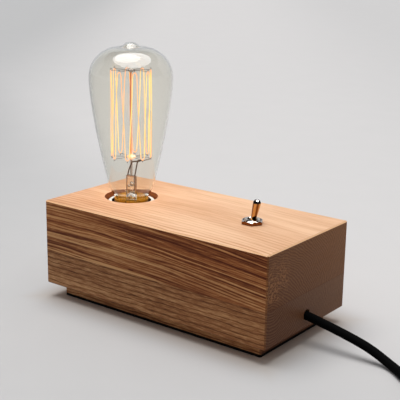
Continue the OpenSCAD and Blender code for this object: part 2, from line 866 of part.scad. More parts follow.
module switch_frame() {
    ear_h = 9;
    ear_w = 10;
    ear_y = case_w / 2 + snug + frame_t / 2;
    color("silver")
        at_switch()
            difference() {
                union() {
                    translate([-case_l / 2, -case_w / 2 - frame_t - snug, z_case])
                        cube([case_l, case_w + 2 * (frame_t + snug), frame_t]);
                    for (s = [-1, 1])
                        translate([0, s * ear_y, z_case - ear_h / 2 + frame_t / 4])
                            cube([ear_w, frame_t, ear_h + frame_t / 2], center = true);
                }
                translate([0, 0, z_case - cut])
                    cylinder(d = bushing_d + 2 * snug, h = frame_t + 2 * cut);
            }
}

module switch_bushing() {
    bevel = 0.5;
    color("silver")
        at_switch()
            difference() {
                union() {
                    translate([0, 0, z_case - flange_t])
                        cylinder(r = flange_r, h = flange_t);
                    translate([0, 0, z_case - flange_t])
                        cylinder(d = bushing_d, h = z_bushing - z_case + flange_t - bevel);
                    translate([0, 0, z_bushing - bevel])
                        cylinder(d1 = bushing_d, d2 = bushing_d - 2 * bevel, h = bevel);
                }
                translate([0, 0, z_case - flange_t - cut])
                    cylinder(d = bushing_bore, h = z_bushing - z_case + flange_t + 2 * cut);
                translate([0, 0, z_pivot])
                    rotate([90, 0, 0])
                        cylinder(r = pin_r, h = bushing_d + cut, center = true);
            }
}

module switch_lock_washer() {
    color("silver")
        at_switch()
            translate([0, 0, z_web - washer_t])
                difference() {
                    cylinder(d = bushing_d + 6, h = washer_t);
                    translate([0, 0, -cut])
                        cylinder(d = bushing_d + switch_hole_gap, h = washer_t + 2 * cut);
                }
}

module switch_nut() {
    flats = nut_d * cos(30);
    bevel = (nut_d - flats) / 2;
    color("silver")
        at_switch()
            translate([0, 0, z_top])
                difference() {
                    intersection() {
                        cylinder(d = nut_d, h = nut_h, $fn = 6);
                        rotate_extrude()
                            polygon([
                                [0, 0], [nut_d / 2, 0], [nut_d / 2, nut_h - bevel / 2],
                                [flats / 2 - 0.3, nut_h], [0, nut_h]
                            ]);
                    }
                    translate([0, 0, -cut])
                        cylinder(d = bushing_d + snug, h = nut_h + 2 * cut);
                }
}

module switch_pivot_pin() {
    color("silver")
        at_switch()
            translate([0, 0, z_pivot])
                rotate([90, 0, 0])
                    cylinder(r = pin_r, h = bushing_d - 0.2, center = true);
}

module switch_terminals() {
    color("gold")
        at_switch() {
            translate([-blade_t / 2, -blade_w / 2, z_case_base - blade_drop])
                cube([blade_t, blade_w, z_rocker - z_case_base + blade_drop]);
            translate([0, 0, z_rocker])
                rotate([90, 0, 0])
                    cylinder(r = ridge_r, h = blade_w, center = true);
            translate([-contact_x - blade_t / 2, -blade_w / 2, z_case_base - blade_drop])
                cube([blade_t, blade_w, rocker_rest - 1 - z_case_base + blade_drop]);
            translate([-contact_x, 0, rocker_rest - 1])
                cylinder(r = 1.5, h = 1);
        }
}

// bat lever on its ball, with the pin's hole through it
module switch_lever() {
    r0 = lever_neck_d / 2;
    r1 = lever_tip_d / 2;
    color("gainsboro")
        at_pivot()
            difference() {
                union() {
                    sphere(r = lever_ball_r);
                    cylinder(r1 = r0, r2 = r0, h = 5);
                    translate([0, 0, 5])
                        cylinder(r1 = r0, r2 = r1, h = lever_l - 5);
                    translate([0, 0, lever_l])
                        sphere(r = r1);
                    translate([0, 0, -stem_drop])
                        cylinder(d = stem_d, h = stem_drop);
                }
                rotate([90, 0, 0])
                    cylinder(r = pin_r + 0.05, h = 4 * lever_ball_r, center = true);
                translate([0, 0, -stem_drop - cut])
                    cylinder(r = plunger_r + 0.05, h = plunger_seat + cut);
            }
}

module switch_plunger() {
    color("ivory")
        at_pivot() {
            translate([0, 0, -plunger_reach + plunger_r])
                cylinder(r = plunger_r, h = plunger_reach - plunger_r - stem_drop + plunger_seat);
            translate([0, 0, -plunger_reach + plunger_r])
                sphere(r = plunger_r);
        }
}

module switch_rocker() {
    rise = rocker_arm * tan(rocker_rise);
    low = rocker_top - rocker_t;
    color("gold")
        at_rocker()
            rotate([90, 0, 0])
                linear_extrude(rocker_w, center = true)
                    difference() {
                        union() {
                            circle(r = rocker_hub_r, $fn = 48);
                            polygon([
                                [-rocker_arm, low + rise], [0, low], [rocker_arm, low + rise],
                                [rocker_arm, rocker_top + rise], [0, rocker_top],
                                [-rocker_arm, rocker_top + rise]
                            ]);
                        }
                        circle(r = rocker_groove, $fn = 48);
                        translate([-2 * rocker_hub_r, -4 * rocker_hub_r])
                            square([4 * rocker_hub_r, 4 * rocker_hub_r]);
                    }
}

// ---- lead and wiring ----

module cord_clamp_base() {
    color([0.9, 0.9, 0.86])
        difference() {
            translate([clamp_x, -clamp_w / 2, z_block])
                cube([clamp_l, clamp_w, z_cord - clamp_gap / 2 - z_block]);
            clamp_cuts();
        }
}

module cord_clamp_cap() {
    color([0.9, 0.9, 0.86])
        difference() {
            translate([clamp_x, -clamp_w / 2, z_cord + clamp_gap / 2])
                cube([clamp_l, clamp_w, clamp_top - clamp_gap / 2]);
            clamp_cuts();
        }
}

module clamp_cuts() {
    translate([clamp_x - cut, 0, z_cord])
        rotate([0, 90, 0])
            cylinder(d = cord_d + 2 * touch, h = clamp_l + 2 * cut);
    translate([0, 0, -clamp_top - z_cord])
        at_clamp_screws()
            cylinder(d = clamp_screw_d + 2 * snug, h = z_cord + clamp_top + cut);
}

module clamp_screws() {
    length = z_cord + clamp_top - z_block + clamp_screw_depth - 0.5;
    color("silver")
        at_clamp_screws()
            wood_screw(clamp_screw_d, 2 * clamp_screw_d, length, false);
}

module cord_inner_end() {
    color([0.05, 0.05, 0.05])
        translate([jacket_end, 0, z_cord])
            rotate([0, 90, 0])
                cylinder(d = cord_d, h = cavity_x1 - jacket_end);
}

z_blade = z_case_base - blade_drop + 3;
live_x = switch_x - contact_x;
live_route = [
    [jacket_end - wire_gap, wire_y, z_cord], [jacket_end - wire_bend, wire_y, z_cord + 1],
    [jacket_end - wire_swing - 4, 2 * wire_y, z_cord + 8],
    [live_x - wire_swing - 6, 2 * wire_y, z_blade - 8], [live_x - wire_swing, wire_y + 0.6, z_blade - 1],
    [live_x - blade_t / 2 - wire_gap, switch_y, z_blade]
];
neutral_route = [
    [jacket_end - wire_gap, -wire_y, z_cord], [jacket_end - wire_swing, -wire_y, z_cord],
    [jacket_end - 3 * wire_swing, -wire_bend, z_block + wire_deep],
    [bulb_x + 5 * wire_swing, -wire_side / 2, z_block + wire_deep],
    [bulb_x + 2.5 * wire_swing, -wire_side + wire_bend / 2, z_block + wire_high / 2],
    [bulb_x + wire_swing, -wire_side, z_block + wire_high],
    [bulb_x + wire_bend / 2, -wire_side, z_terminal_bore - 0.4],
    [bulb_x, -terminal_out - 0.8 * wire_bend, z_terminal_bore],
    [bulb_x, -terminal_out - wire_gap, z_terminal_bore]
];
switched_route = [
    [switch_x + blade_t / 2 + wire_gap, switch_y, z_blade], [switch_x + wire_bend, switch_y, z_blade],
    [switch_x + wire_swing, switch_y + wire_bend, z_blade - 4],
    [switch_x + wire_bend, wire_side - wire_swing, z_block + wire_high],
    [switch_x - 3 * wire_swing, wire_side - wire_bend, z_block + wire_high],
    [bulb_x + 4 * wire_swing, wire_side - wire_bend / 2, z_block + wire_high],
    [bulb_x + wire_swing, wire_side, z_block + wire_high + 2],
    [bulb_x + wire_bend / 2, wire_side, z_terminal_bore - 0.4],
    [bulb_x, terminal_out + 0.8 * wire_bend, z_terminal_bore],
    [bulb_x, terminal_out + wire_gap, z_terminal_bore]
];

module wire_live() { color("saddlebrown") tube(smooth(live_route, 4), wire_d, 8); }
module wire_neutral() { color("royalblue") tube(smooth(neutral_route, 4), wire_d, 8); }
module wire_switched() { color("saddlebrown") tube(smooth(switched_route, 4), wire_d, 8); }
module power_cord() { color([0.05, 0.05, 0.05]) tube(smooth(cord_route, 2), cord_d, cord_sides); }
module cord_tail() { color([0.05, 0.05, 0.05]) tube(smooth(tail_route, 2), cord_d, cord_sides); }

module cord_coil() {
    round_e = 2;
    color([0.05, 0.05, 0.05])
        translate([coil_x, coil_y, 0])
            difference() {
                rotate_extrude($fn = 72)
                    polygon([
                        [coil_r0 + round_e, 0], [coil_r1 - round_e, 0], [coil_r1, round_e],
                        [coil_r1, coil_h - round_e], [coil_r1 - round_e, coil_h], [coil_r0 + round_e, coil_h],
                        [coil_r0, coil_h - round_e], [coil_r0, round_e]
                    ]);
                rotate(tie_angle)
                    translate([coil_r0 - cut, -tie_w / 2 - snug, -cut])
                        cube([coil_r1 - coil_r0 + 2 * cut, tie_w + 2 * snug, tie_t + snug + cut]);
            }
}

module coil_tie() {
    r0 = sqrt(pow(coil_r0, 2) - pow(tie_w / 2, 2)) - seat;
    r1 = coil_r1 + seat;
    color([0.02, 0.02, 0.02])
        translate([coil_x, coil_y, 0])
            rotate(tie_angle)
                difference() {
                    translate([r0 - tie_t, -tie_w / 2, 0])
                        cube([r1 - r0 + 2 * tie_t, tie_w, coil_h + 2 * tie_t + 0.2]);
                    translate([r0, -tie_w / 2 - cut, tie_t])
                        cube([r1 - r0, tie_w + 2 * cut, coil_h + 0.2]);
                }
}

module plug_strain_relief() {
    color([0.05, 0.05, 0.05])
        at_plug()
            rotate([0, 90, 0])
                difference() {
                    cylinder(d1 = cord_d + 2, d2 = cord_d + 4.4, h = relief_l);
                    for (i = [0:3])
                        translate([0, 0, 3 + 4.6 * i])
                            difference() {
                                cylinder(r = cord_d, h = 1.6);
                                cylinder(d = cord_d + 1, h = 1.6);
                            }
                }
}

module plug_body() {
    back_w = 16;
    shoulder = 14;
    color([0.05, 0.05, 0.05])
        at_plug()
            translate([relief_l, 0, -plug_h / 2])
                difference() {
                    linear_extrude(plug_h)
                        polygon([
                            [0, -back_w / 2], [shoulder, -plug_w / 2 + 3],
                            [plug_l, -plug_w / 2], [plug_l, plug_w / 2],
                            [shoulder, plug_w / 2 - 3], [0, back_w / 2]
                        ]);
                    for (y = [-plug_w / 2, plug_w / 2], z = [0, plug_h])
                        translate([plug_l / 2, y, z])
                            rotate([45, 0, 0])
                                cube([2 * plug_l, 3.4, 3.4], center = true);
                }
}

module plug_pins() {
    color("silver")
        at_plug()
            for (s = [-1, 1])
                translate([relief_l + plug_l, s * plug_pin_gap / 2, 0])
                    rotate([0, 90, 0]) {
                        cylinder(d = plug_pin_d, h = pin_l - plug_pin_d / 2, $fn = 32);
                        translate([0, 0, pin_l - plug_pin_d / 2])
                            sphere(d = plug_pin_d, $fn = 32);
                    }
}

upper_board();
lower_board();
plinth_board();
foot_pad();
plinth_screws();
holder_body();
holder_screw_shell();
holder_shell_strap();
holder_contact_leaf();
holder_terminals();
terminal_screws();
holder_bracket();
bracket_screws();
holder_screws();
bulb_glass();
bulb_cap_shell();
bulb_cap_insulator();
bulb_cap_contact();
bulb_stem();
centre_rod();
top_supports();
bottom_supports();
filament();
lead_wires();
switch_case();
switch_frame();
switch_bushing();
switch_lock_washer();
switch_nut();
switch_pivot_pin();
switch_terminals();
switch_lever();
switch_plunger();
switch_rocker();
cord_clamp_base();
cord_clamp_cap();
clamp_screws();
cord_inner_end();
wire_live();
wire_switched();
wire_neutral();
power_cord();
cord_coil();
cord_tail();
coil_tie();
plug_strain_relief();
plug_body();
plug_pins();
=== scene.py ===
"""Looks of a bare bulb table lamp, built round its packed construction. Metres, +Z up."""

import logging
import math
import random
from collections.abc import Callable
from dataclasses import dataclass, field
from enum import Enum
from functools import cached_property

import bmesh
import bpy
from mathutils import Matrix, Vector


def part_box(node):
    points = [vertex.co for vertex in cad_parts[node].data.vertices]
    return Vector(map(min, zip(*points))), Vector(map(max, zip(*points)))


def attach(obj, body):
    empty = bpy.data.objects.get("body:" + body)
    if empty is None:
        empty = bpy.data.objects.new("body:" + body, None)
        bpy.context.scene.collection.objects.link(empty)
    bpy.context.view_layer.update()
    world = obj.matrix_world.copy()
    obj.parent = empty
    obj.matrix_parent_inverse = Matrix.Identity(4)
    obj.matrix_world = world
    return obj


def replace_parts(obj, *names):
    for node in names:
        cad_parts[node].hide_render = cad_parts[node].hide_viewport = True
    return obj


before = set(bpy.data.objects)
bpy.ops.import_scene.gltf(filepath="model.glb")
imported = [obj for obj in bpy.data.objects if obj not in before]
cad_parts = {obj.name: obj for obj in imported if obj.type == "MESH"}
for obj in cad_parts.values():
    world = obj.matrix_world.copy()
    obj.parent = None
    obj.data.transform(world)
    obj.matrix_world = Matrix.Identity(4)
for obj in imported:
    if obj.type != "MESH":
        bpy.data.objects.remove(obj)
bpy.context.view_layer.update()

log = logging.getLogger("lamp")

MM = 0.001
TURN = 2 * math.pi
POLE = 1e-7  # metres; a ring of points closer together than this is one point
OVAL_SIDES = 48
Colour = tuple[float, float, float]
Profile = list[tuple[float, float]]


class Body(Enum):
    """The moving bodies of the lamp."""

    BASE = "base"
    LEVER = "lever"
    GLASS = "bulb_glass"
    CORE = "bulb_core"


class Cut(Enum):
    """How a board's long sides were sawn."""

    BOLD = "bold stripes"
    FINE = "fine even lines"


# ---- shader tools ----


def paint(*channels: int) -> Colour:
    """A colour as a painter names it, 0 to 255 a channel, made linear."""
    return tuple((c / 255 / 12.92) if c <= 10 else ((c / 255 + 0.055) / 1.055) ** 2.4 for c in channels)


class Field:
    """A socket of a node tree, with Python's operators for its maths."""

    def __init__(self, graph: "Graph", socket: bpy.types.NodeSocket) -> None:
        """Wraps an output socket of a graph."""
        self.graph = graph
        self.socket = socket

    def maths(self, operation: str, *values: "Field | float") -> "Field":
        """This value, and any further ones, through a Math node."""
        return self.graph.maths(operation, self, *values)

    def __add__(self, other: "Field | float") -> "Field":
        """self + other."""
        return self.maths("ADD", other)

    def __sub__(self, other: "Field | float") -> "Field":
        """self - other."""
        return self.maths("SUBTRACT", other)

    def __mul__(self, other: "Field | float") -> "Field":
        """self * other."""
        return self.maths("MULTIPLY", other)

    def __truediv__(self, other: "Field | float") -> "Field":
        """self / other."""
        return self.maths("DIVIDE", other)

    def __pow__(self, other: "Field | float") -> "Field":
        """self to a power."""
        return self.maths("POWER", other)

    def __rsub__(self, other: float) -> "Field":
        """other - self."""
        return self.graph.maths("SUBTRACT", other, self)

    __radd__ = __add__
    __rmul__ = __mul__

    def size(self) -> "Field":
        """The value without its sign."""
        return self.maths("ABSOLUTE")

    def root(self) -> "Field":
        """The square root."""
        return self.maths("SQRT")

    def wave(self) -> "Field":
        """The cosine of the value in turns, from -1 to 1."""
        return (self * TURN).maths("COSINE")

    def over(self, least: "Field | float") -> "Field":
        """The larger of the two values."""
        return self.maths("MAXIMUM", least)

    def swing(self, reach: float) -> "Field":
        """A value round 0.5 made to swing round 0, so much for each 1."""
        return (self - 0.5) * reach

    def rise(self, low: float, high: float) -> "Field":
        """A smooth step, which falls where low is above high.

        Args:
            low: where it is 0.
            high: where it is 1.

        Returns:
            A value from 0 to 1.
        """
        ends = {0: self, 1: min(low, high), 2: max(low, high)}
        step = self.graph.node("ShaderNodeMapRange", {"interpolation_type": "SMOOTHSTEP"}, ends)
        return 1 - step if low > high else step

    def dip(self, middle: float, reach: float) -> "Field":
        """A smooth hump round a value: 1 at the middle and 0 from reach away."""
        return (self - middle).size().rise(reach, 0.0)


class Graph:
    """The node tree of a material or a world."""

    def __init__(self, owner: bpy.types.Material | bpy.types.World) -> None:
        """Empties the tree.

        Args:
            owner: the material or the world that the tree belongs to.
        """
        owner.use_nodes = True
        self.owner = owner
        self.tree = owner.node_tree
        self.tree.nodes.clear()

    def node(
        self, kind: str, settings: dict | None = None, inputs: dict | None = None, output: int | str = 0
    ) -> Field:
        """One node.

        Args:
            kind: the node's type.
            settings: its own settings, set first; stops are a colour ramp's.
            inputs: a value, a colour or a Field for each named or numbered socket.
            output: the socket that is used.

        Returns:
            That output.
        """
        made = self.tree.nodes.new(kind)
        for name, value in (settings or {}).items():
            if name == "stops":
                self.set_stops(made.color_ramp, value)
            else:
                setattr(made, name, value)
        for name, value in (inputs or {}).items():
            if isinstance(value, Field):
                self.tree.links.new(value.socket, made.inputs[name])
            else:
                made.inputs[name].default_value = (*value, 1.0) if isinstance(value, tuple) else value
        return Field(self, made.outputs[output] if len(made.outputs) else None)

    @staticmethod
    def set_stops(ramp: bpy.types.ColorRamp, colours: tuple[Colour, ...]) -> None:
        """Gives a colour ramp evenly spaced stops.

        Args:
            ramp: the ramp.
            colours: their colours, in order.
        """
        while len(ramp.elements) < len(colours):
            ramp.elements.new(1.0)
        for i, (element, colour) in enumerate(zip(ramp.elements, colours)):
            element.position = i / (len(colours) - 1)
            element.color = (*colour, 1.0)

    def maths(self, operation: str, *values: Field | float) -> Field:
        """A Math node on the values."""
        return self.node("ShaderNodeMath", {"operation": operation}, dict(enumerate(values)))

    def parts(self, vector: Field) -> list[Field]:
        """The three parts of a vector."""
        made = self.node("ShaderNodeSeparateXYZ", {}, {0: vector}).socket.node
        return [Field(self, output) for output in made.outputs]

    @cached_property
    def place(self) -> list[Field]:
        """The shaded point in the lamp's frame at rest, in millimetres."""
        return [part / MM for part in self.parts(self.node("ShaderNodeTexCoord", output="Object"))]

    @cached_property
    def facing(self) -> list[Field]:
        """The three parts of the surface's direction in the piece's own frame."""
        return self.parts(self.node("ShaderNodeTexCoord", output="Normal"))

    def noise(
        self, x: Field | float, y: Field | float, z: Field | float, detail: float = 2, rough: float = 0.5
    ) -> Field:
        """Smooth noise from about 0.2 to 0.8, one cell to each unit of its three coordinates."""
        at = self.node("ShaderNodeCombineXYZ", {}, {0: x, 1: y, 2: z})
        return self.node("ShaderNodeTexNoise", {}, {"Vector": at, "Scale": 1.0, "Detail": detail, "Roughness": rough})

    def grain(self, cells: float | tuple[float, float, float], detail: float = 2, rough: float = 0.5) -> Field:
        """Noise fixed to the lamp, with a number of cells to the millimetre, or one for each axis."""
        each = cells if isinstance(cells, tuple) else (cells,) * 3
        return self.noise(*(part * count for part, count in zip(self.place, each)), detail, rough)

    def mix(
        self, share: Field | float, first: Field | Colour, second: Field | Colour, blend: str = "MIX"
    ) -> Field:
        """Two colours mixed: share 0 gives the first."""
        settings = {"data_type": "RGBA", "blend_type": blend, "clamp_factor": True}
        return self.node("ShaderNodeMix", settings, {0: share, 6: first, 7: second}, 2)

    def ramp(self, value: Field, *colours: Colour) -> Field:
        """A colour for each value from 0 to 1, out of evenly spaced ones."""
        return self.node("ShaderNodeValToRGB", {"stops": colours}, {0: value})

    def bump(self, height: Field, depth: float, strength: float = 1.0) -> Field:
        """A surface direction from a height from 0 to 1 that stands for depth metres."""
        return self.node("ShaderNodeBump", {}, {"Strength": strength, "Distance": depth, "Height": height})

    def surface(self, **inputs: Field | float | Colour) -> None:
        """Ends the tree in the main shader, with its sockets named by their words joined by underscores."""
        named = {name.replace("_", " "): value for name, value in inputs.items()}
        self.node("ShaderNodeOutputMaterial", {}, {"Surface": self.node("ShaderNodeBsdfPrincipled", {}, named)})


# ---- finishes ----


@dataclass(frozen=True)
class Finish:
    """A surface finish; each kind shades its own material."""

    name: str

    @cached_property
    def graph(self) -> Graph:
        """The node tree of its material."""
        return Graph(bpy.data.materials.new(self.name))

    @cached_property
    def material(self) -> bpy.types.Material:
        """Its material, shaded when it is first asked for."""
        self.shade()
        return self.graph.owner

    def shade(self) -> None:
        """Draws the node tree."""
        raise NotImplementedError


@dataclass(frozen=True)
class Timber(Finish):
    """Oiled ash with its grain along X; each side of a board shows its own cut."""

    cut: Cut = Cut.BOLD
    side_dark: Colour = paint(86, 40, 16)
    side_mid: Colour = paint(142, 87, 49)
    side_pale: Colour = paint(191, 144, 96)
    # The flat faces take paler colours than the sides: partly their own face grain and partly painted light from above.
    lit_top_dark: Colour = paint(194, 134, 90)
    lit_top_pale: Colour = paint(238, 194, 156)
    end_dark: Colour = paint(82, 45, 24)
    end_pale: Colour = paint(146, 97, 58)
    # edge: a painted highlight along the eased edges that face upwards.
    edge: Colour = paint(250, 200, 152)
    blush: Colour = (1.0, 0.85, 0.72)
    streaks: tuple = (
        (12, 54, 23, 0.9), (-69, 39.3, 9, 0.7), (-39, 42, 6, 0.6), (-15.5, 41, 4, 0.8), (60, 69, 14, 0.6),
    )
    glue_z: float = 38.0
    # bore: warm, paler wood on the wall of the bulb's hole, painted light where the wall lies in shade.
    bore: Colour = paint(156, 84, 42)
    bore_x: float = -60.5
    bore_r: float = 22.5
    ring_gap: float = 4.4
    line_gap: float = 3.7

    @cached_property
    def fibres(self) -> Field:
        """Short hair lines along the grain."""
        return self.graph.grain((0.11, 1.15, 1.15), 3, 0.7)

    def bold_side(self) -> Field:
        """Wide stripes that wander and fall away to one end.

        Returns:
            Their tone, from 0 for dark to 1 for pale.
        """
        g = self.graph
        x, y, z = g.place
        fall = ((x + 60) / 163).over(0.0) ** 2 * 10
        line = z + fall + g.grain((0.012, 0.02, 0.05)).swing(4.5)
        tone = 0.5 + g.noise(x * 0.004, y * 0.02, line * 0.07).swing(0.9)
        tone = tone + g.noise(x * 0.005, y * 0.02, line * 0.27, 2, 0.6).swing(1.6)
        tone = tone + g.noise(x * 0.010, y * 0.05, line * 0.9, 2, 0.5).swing(2.7)
        tone = tone + g.noise(x * 0.012, y * 0.05, line * 2.1, 1).swing(0.7)
        tone = tone - (z.rise(54, 62) * 0.12 + x / 1500) + z.rise(50, 73) * x.rise(0, -80) * 0.1
        ragged = self.fibres.swing(2)
        for middle_x, middle_z, reach, high in self.streaks:
            across = (z + x * 0.02 + ragged * 0.4).dip(middle_z + middle_x * 0.02, high)
            tone = tone - x.dip(middle_x, reach) * across * 0.7
        return tone + ragged * 0.5

    def fine_side(self) -> Field:
        """Narrow even lines, each a little wavy.

        Returns:
            Their tone, from 0 for dark to 1 for pale.
        """
        g = self.graph
        x, y, z = g.place
        line = z + g.grain((0.02, 0.02, 0.08)).swing(4)
        rings = ((line + g.grain((0.13, 0.1, 0.3)).swing(1.5)) / self.line_gap).wave().over(0.0) ** 3
        tone = 0.55 + g.noise(x * 0.008, y * 0.02, line * 0.12) - 0.5 - rings * 0.42
        return tone + z.rise(34, 20) * 0.05 + x.rise(-20, -100) * 0.05 + self.fibres.swing(1.5)

    def top(self) -> Field:
        """The flat faces, with rings that stand stronger towards the front.

        Returns:
            Their colour.
        """
        g = self.graph
        x, y, z = g.place
        fall = ((x + 20) / 120).over(0.0) ** 2 * 9
        line = y + g.grain((0.014, 0.03, 0.02)).swing(9) + g.grain((0.05, 0.12, 0.1)).swing(1.6) + fall
        depth = 0.05 + y.rise(14.0, -50.0) * 0.44 + y.rise(-42.0, -47.0) * 0.4
        rings = (line / self.ring_gap).wave().over(0.0) ** 2 * depth
        tone = 0.79 + g.noise(x * 0.008, line * 0.07, z * 0.02).swing(1.4)
        tone = tone + g.noise(x * 0.04, line * 1.1, z * 0.2, 3, 0.6).swing(1.1)
        return g.ramp(tone - rings - x.rise(40.0, -80.0) * 0.36, self.lit_top_dark, self.lit_top_pale)

    def end(self) -> Field:
        """The end grain: rings round a heart outside the board, and curls near one edge.

        Returns:
            Its colour.
        """
        g = self.graph
        _, y, z = g.place
        heart_y, heart_z, pitch = (-56.0, 2.0, 1.9) if self.cut is Cut.BOLD else (-45.0, 50.0, 2.1)
        radius = ((y - heart_y) ** 2 + (z - heart_z) ** 2).root() + g.grain((0.1, 0.06, 0.06)).swing(7)
        curl = g.grain((0.1, 0.16, 0.16), 3, 0.7)
        arch = ((z + (y + 40).size() * 0.9) / 4.2 + curl.swing(5)).wave().rise(0.2, 0.9)
        corner = y.rise(-22.0, -34.0) * z.rise(40.0, 48.0) * z.rise(76.0, 62.0)
        knot = corner * arch * curl.rise(0.38, 0.54) * 1.3
        pores = g.grain((0.5, 2.6, 2.6), 2, 0.6).swing(1.3)
        # The end grain grows lighter towards the top and the back: painted light.
        tone = 0.45 + (radius / pitch).wave() * 0.2 + pores + knot + (y / 260) + (z - 45) / 200
        return g.ramp(tone, self.end_dark, self.end_pale)

    def shade(self) -> None:
        """Side, flat and end grain, each where it faces."""
        g = self.graph
        x, y, z = g.place
        nx, _, nz = g.facing
        tone = self.bold_side() if self.cut is Cut.BOLD else self.fine_side()
        side = g.ramp(tone, self.side_dark, self.side_mid, self.side_pale)
        side = g.mix(z.rise(50, 62) * 0.6 + x.rise(-60, 100) * 0.35, side, self.blush, "MULTIPLY")
        flat = nz.rise(0.4, 0.6) + (nz * -1).rise(0.8, 0.9)
        # Flat faces paler than the sides: partly face grain, partly painted light from above.
        colour = g.mix(flat, side, self.top())
        colour = g.mix(nx.size().rise(0.55, 0.8), colour, self.end())
        # Painted light on the wall of the bulb's hole, which lies in shade.
        reach = ((x - self.bore_x) ** 2 + y**2).root()
        colour = g.mix(reach.rise(self.bore_r + 0.5, self.bore_r) * (1 - flat) * 0.8, colour, self.bore)
        colour = g.mix(z.dip(self.glue_z, 0.45) * 0.45, colour, self.side_dark)
        # A painted highlight on the eased edges that face upwards.
        colour = g.mix(nz.rise(0.3, 0.36) * nz.rise(0.985, 0.95) * 0.8, colour, self.edge)
        g.surface(
            Base_Color=colour,
            Roughness=0.52 - tone * 0.08,
            Normal=g.bump(self.fibres, 0.1 * MM, 0.5),
            Specular_IOR_Level=0.12,
        )


@dataclass(frozen=True)
class ClearGlass(Finish):
    """Blown glass, see-through, with a faint tint."""

    tint: Colour = (0.93, 0.92, 0.875)
    waves: tuple = (0.05, 0.05, 0.03)
    wavy: float = 0.1
    index: float = 1.5

    def hue(self) -> Field | Colour:
        """The colour that light takes on in it."""
        return self.tint

    def shade(self) -> None:
        """Clear, with slight waves in the glass."""
        g = self.graph
        g.surface(
            Base_Color=self.hue(),
            Roughness=0.0,
            IOR=self.index,
            Transmission_Weight=1.0,
            Normal=g.bump(g.grain(self.waves), 0.1 * MM, self.wavy),
        )


@dataclass(frozen=True)
class SealGlass(ClearGlass):
    """Clear stem glass, brown where the wires are sealed in its sides and along its top."""

    brown: Colour = (0.3, 0.13, 0.05)
    axis_x: float = -60.5
    low: float = 82.0
    high: float = 94.9
    half_wide: float = 4.2

    def hue(self) -> Field:
        """Clear glass with a brown outline on its flat part.

        Returns:
            Its colour.
        """
        g = self.graph
        x, _, z = g.place
        ragged = g.grain((0.5, 0.5, 0.4)).swing(1.2)
        sides = ((x - self.axis_x).size() + ragged).rise(self.half_wide - 0.7, self.half_wide)
        sides = sides * z.rise(self.low, self.low + 4)
        top = (z + ragged * 0.3).rise(self.high - 1.0, self.high - 0.4)
        return g.mix(sides.over(top) * 0.85, self.tint, self.brown)


@dataclass(frozen=True)
class Metal(Finish):
    """Bare or plated metal."""

    colour: Colour
    dull: Colour
    roughness: float = 0.2
    brushed: float = 0.08
    stain: float = 0.4
    metallic: float = 1.0

    def hue(self) -> Field | Colour:
        """The clean metal's colour."""
        return self.colour

    def shade(self) -> None:
        """Metal with faint stains and handling marks."""
        g = self.graph
        marks = g.grain(0.6, 4, 0.6)
        scratch = g.grain((3.0, 3.0, 0.4), 2, 0.6)
        g.surface(
            Base_Color=g.mix(marks.rise(0.5, 0.75) * self.stain, self.hue(), self.dull),
            Metallic=self.metallic,
            Roughness=self.roughness + scratch.swing(self.brushed),
            Normal=g.bump(scratch, 0.02 * MM, 0.2),
        )


@dataclass(frozen=True)
class PaintedLeverPlate(Metal):
    """Plating of the lever with painted reflections: warm and streaked along the shaft, black round a painted highlight
    at the top of its tip.
    """

    # warm and deep: painted reflections of the wood in the shaft; black: painted dark reflection round the tip's
    # highlight.
    warm: Colour = (0.66, 0.38, 0.14)
    deep: Colour = (0.2, 0.08, 0.025)
    black: Colour = (0.025, 0.02, 0.018)
    axis_x: float = 53.7
    axis_y: float = 1.2
    pivot_z: float = 77.0
    tip_z: float = 93.6

    def hue(self) -> Field:
        """The shaft's painted reflections in streaks and the tip's painted highlight.

        Returns:
            The clean metal's colour.
        """
        g = self.graph
        x, y, z = g.place
        nx, ny, nz = g.facing
        across = (x - self.axis_x - (z - self.pivot_z) * 0.21) * 0.8 + (y - self.axis_y) * 0.6
        # Painted reflections in streaks along the shaft.
        reflection_streak = (across * 0.29 + 0.15 + (z - 80) * 0.012).wave() * 0.5 + 0.5
        shaft = g.mix(reflection_streak.rise(0.15, 0.75), self.deep, self.warm)
        # A painted highlight where the tip faces up and towards the front, with painted black reflection round it.
        highlight_spot = (nx * 0.4 - ny * 0.42 + nz * 0.81).rise(0.93, 0.96)
        tip = g.mix(highlight_spot, self.black, self.colour)
        return g.mix(z.rise(self.tip_z - 0.3, self.tip_z + 0.3), shaft, tip)


@dataclass(frozen=True)
class PaintedNutPlate(Metal):
    """Plating of the nut with painted reflections: silver on top, with dark spots beside its bore and brown sides."""

    # side: painted reflection of the wood in the flats; shadow: painted dark reflection beside the bore.
    side: Colour = (0.2, 0.072, 0.022)
    shadow: Colour = (0.09, 0.05, 0.035)
    centre_x: float = 53.7
    centre_y: float = 1.2

    def hue(self) -> Field:
        """Painted reflections: silver and dark by the way round the bore, and brown on the flats.

        Returns:
            The clean metal's colour.
        """
        g = self.graph
        x, y, _ = g.place
        dx, dy = x - self.centre_x, y - self.centre_y
        reach = (dx**2 + dy**2).root()
        across = ((dx * 0.8 + dy * 0.6) / reach).size()
        silver_reflection = across.rise(0.7, 0.35).over(reach.rise(6.6, 7.0))
        return g.mix(g.facing[2].rise(0.35, 0.6), self.side, g.mix(silver_reflection, self.shadow, self.colour))


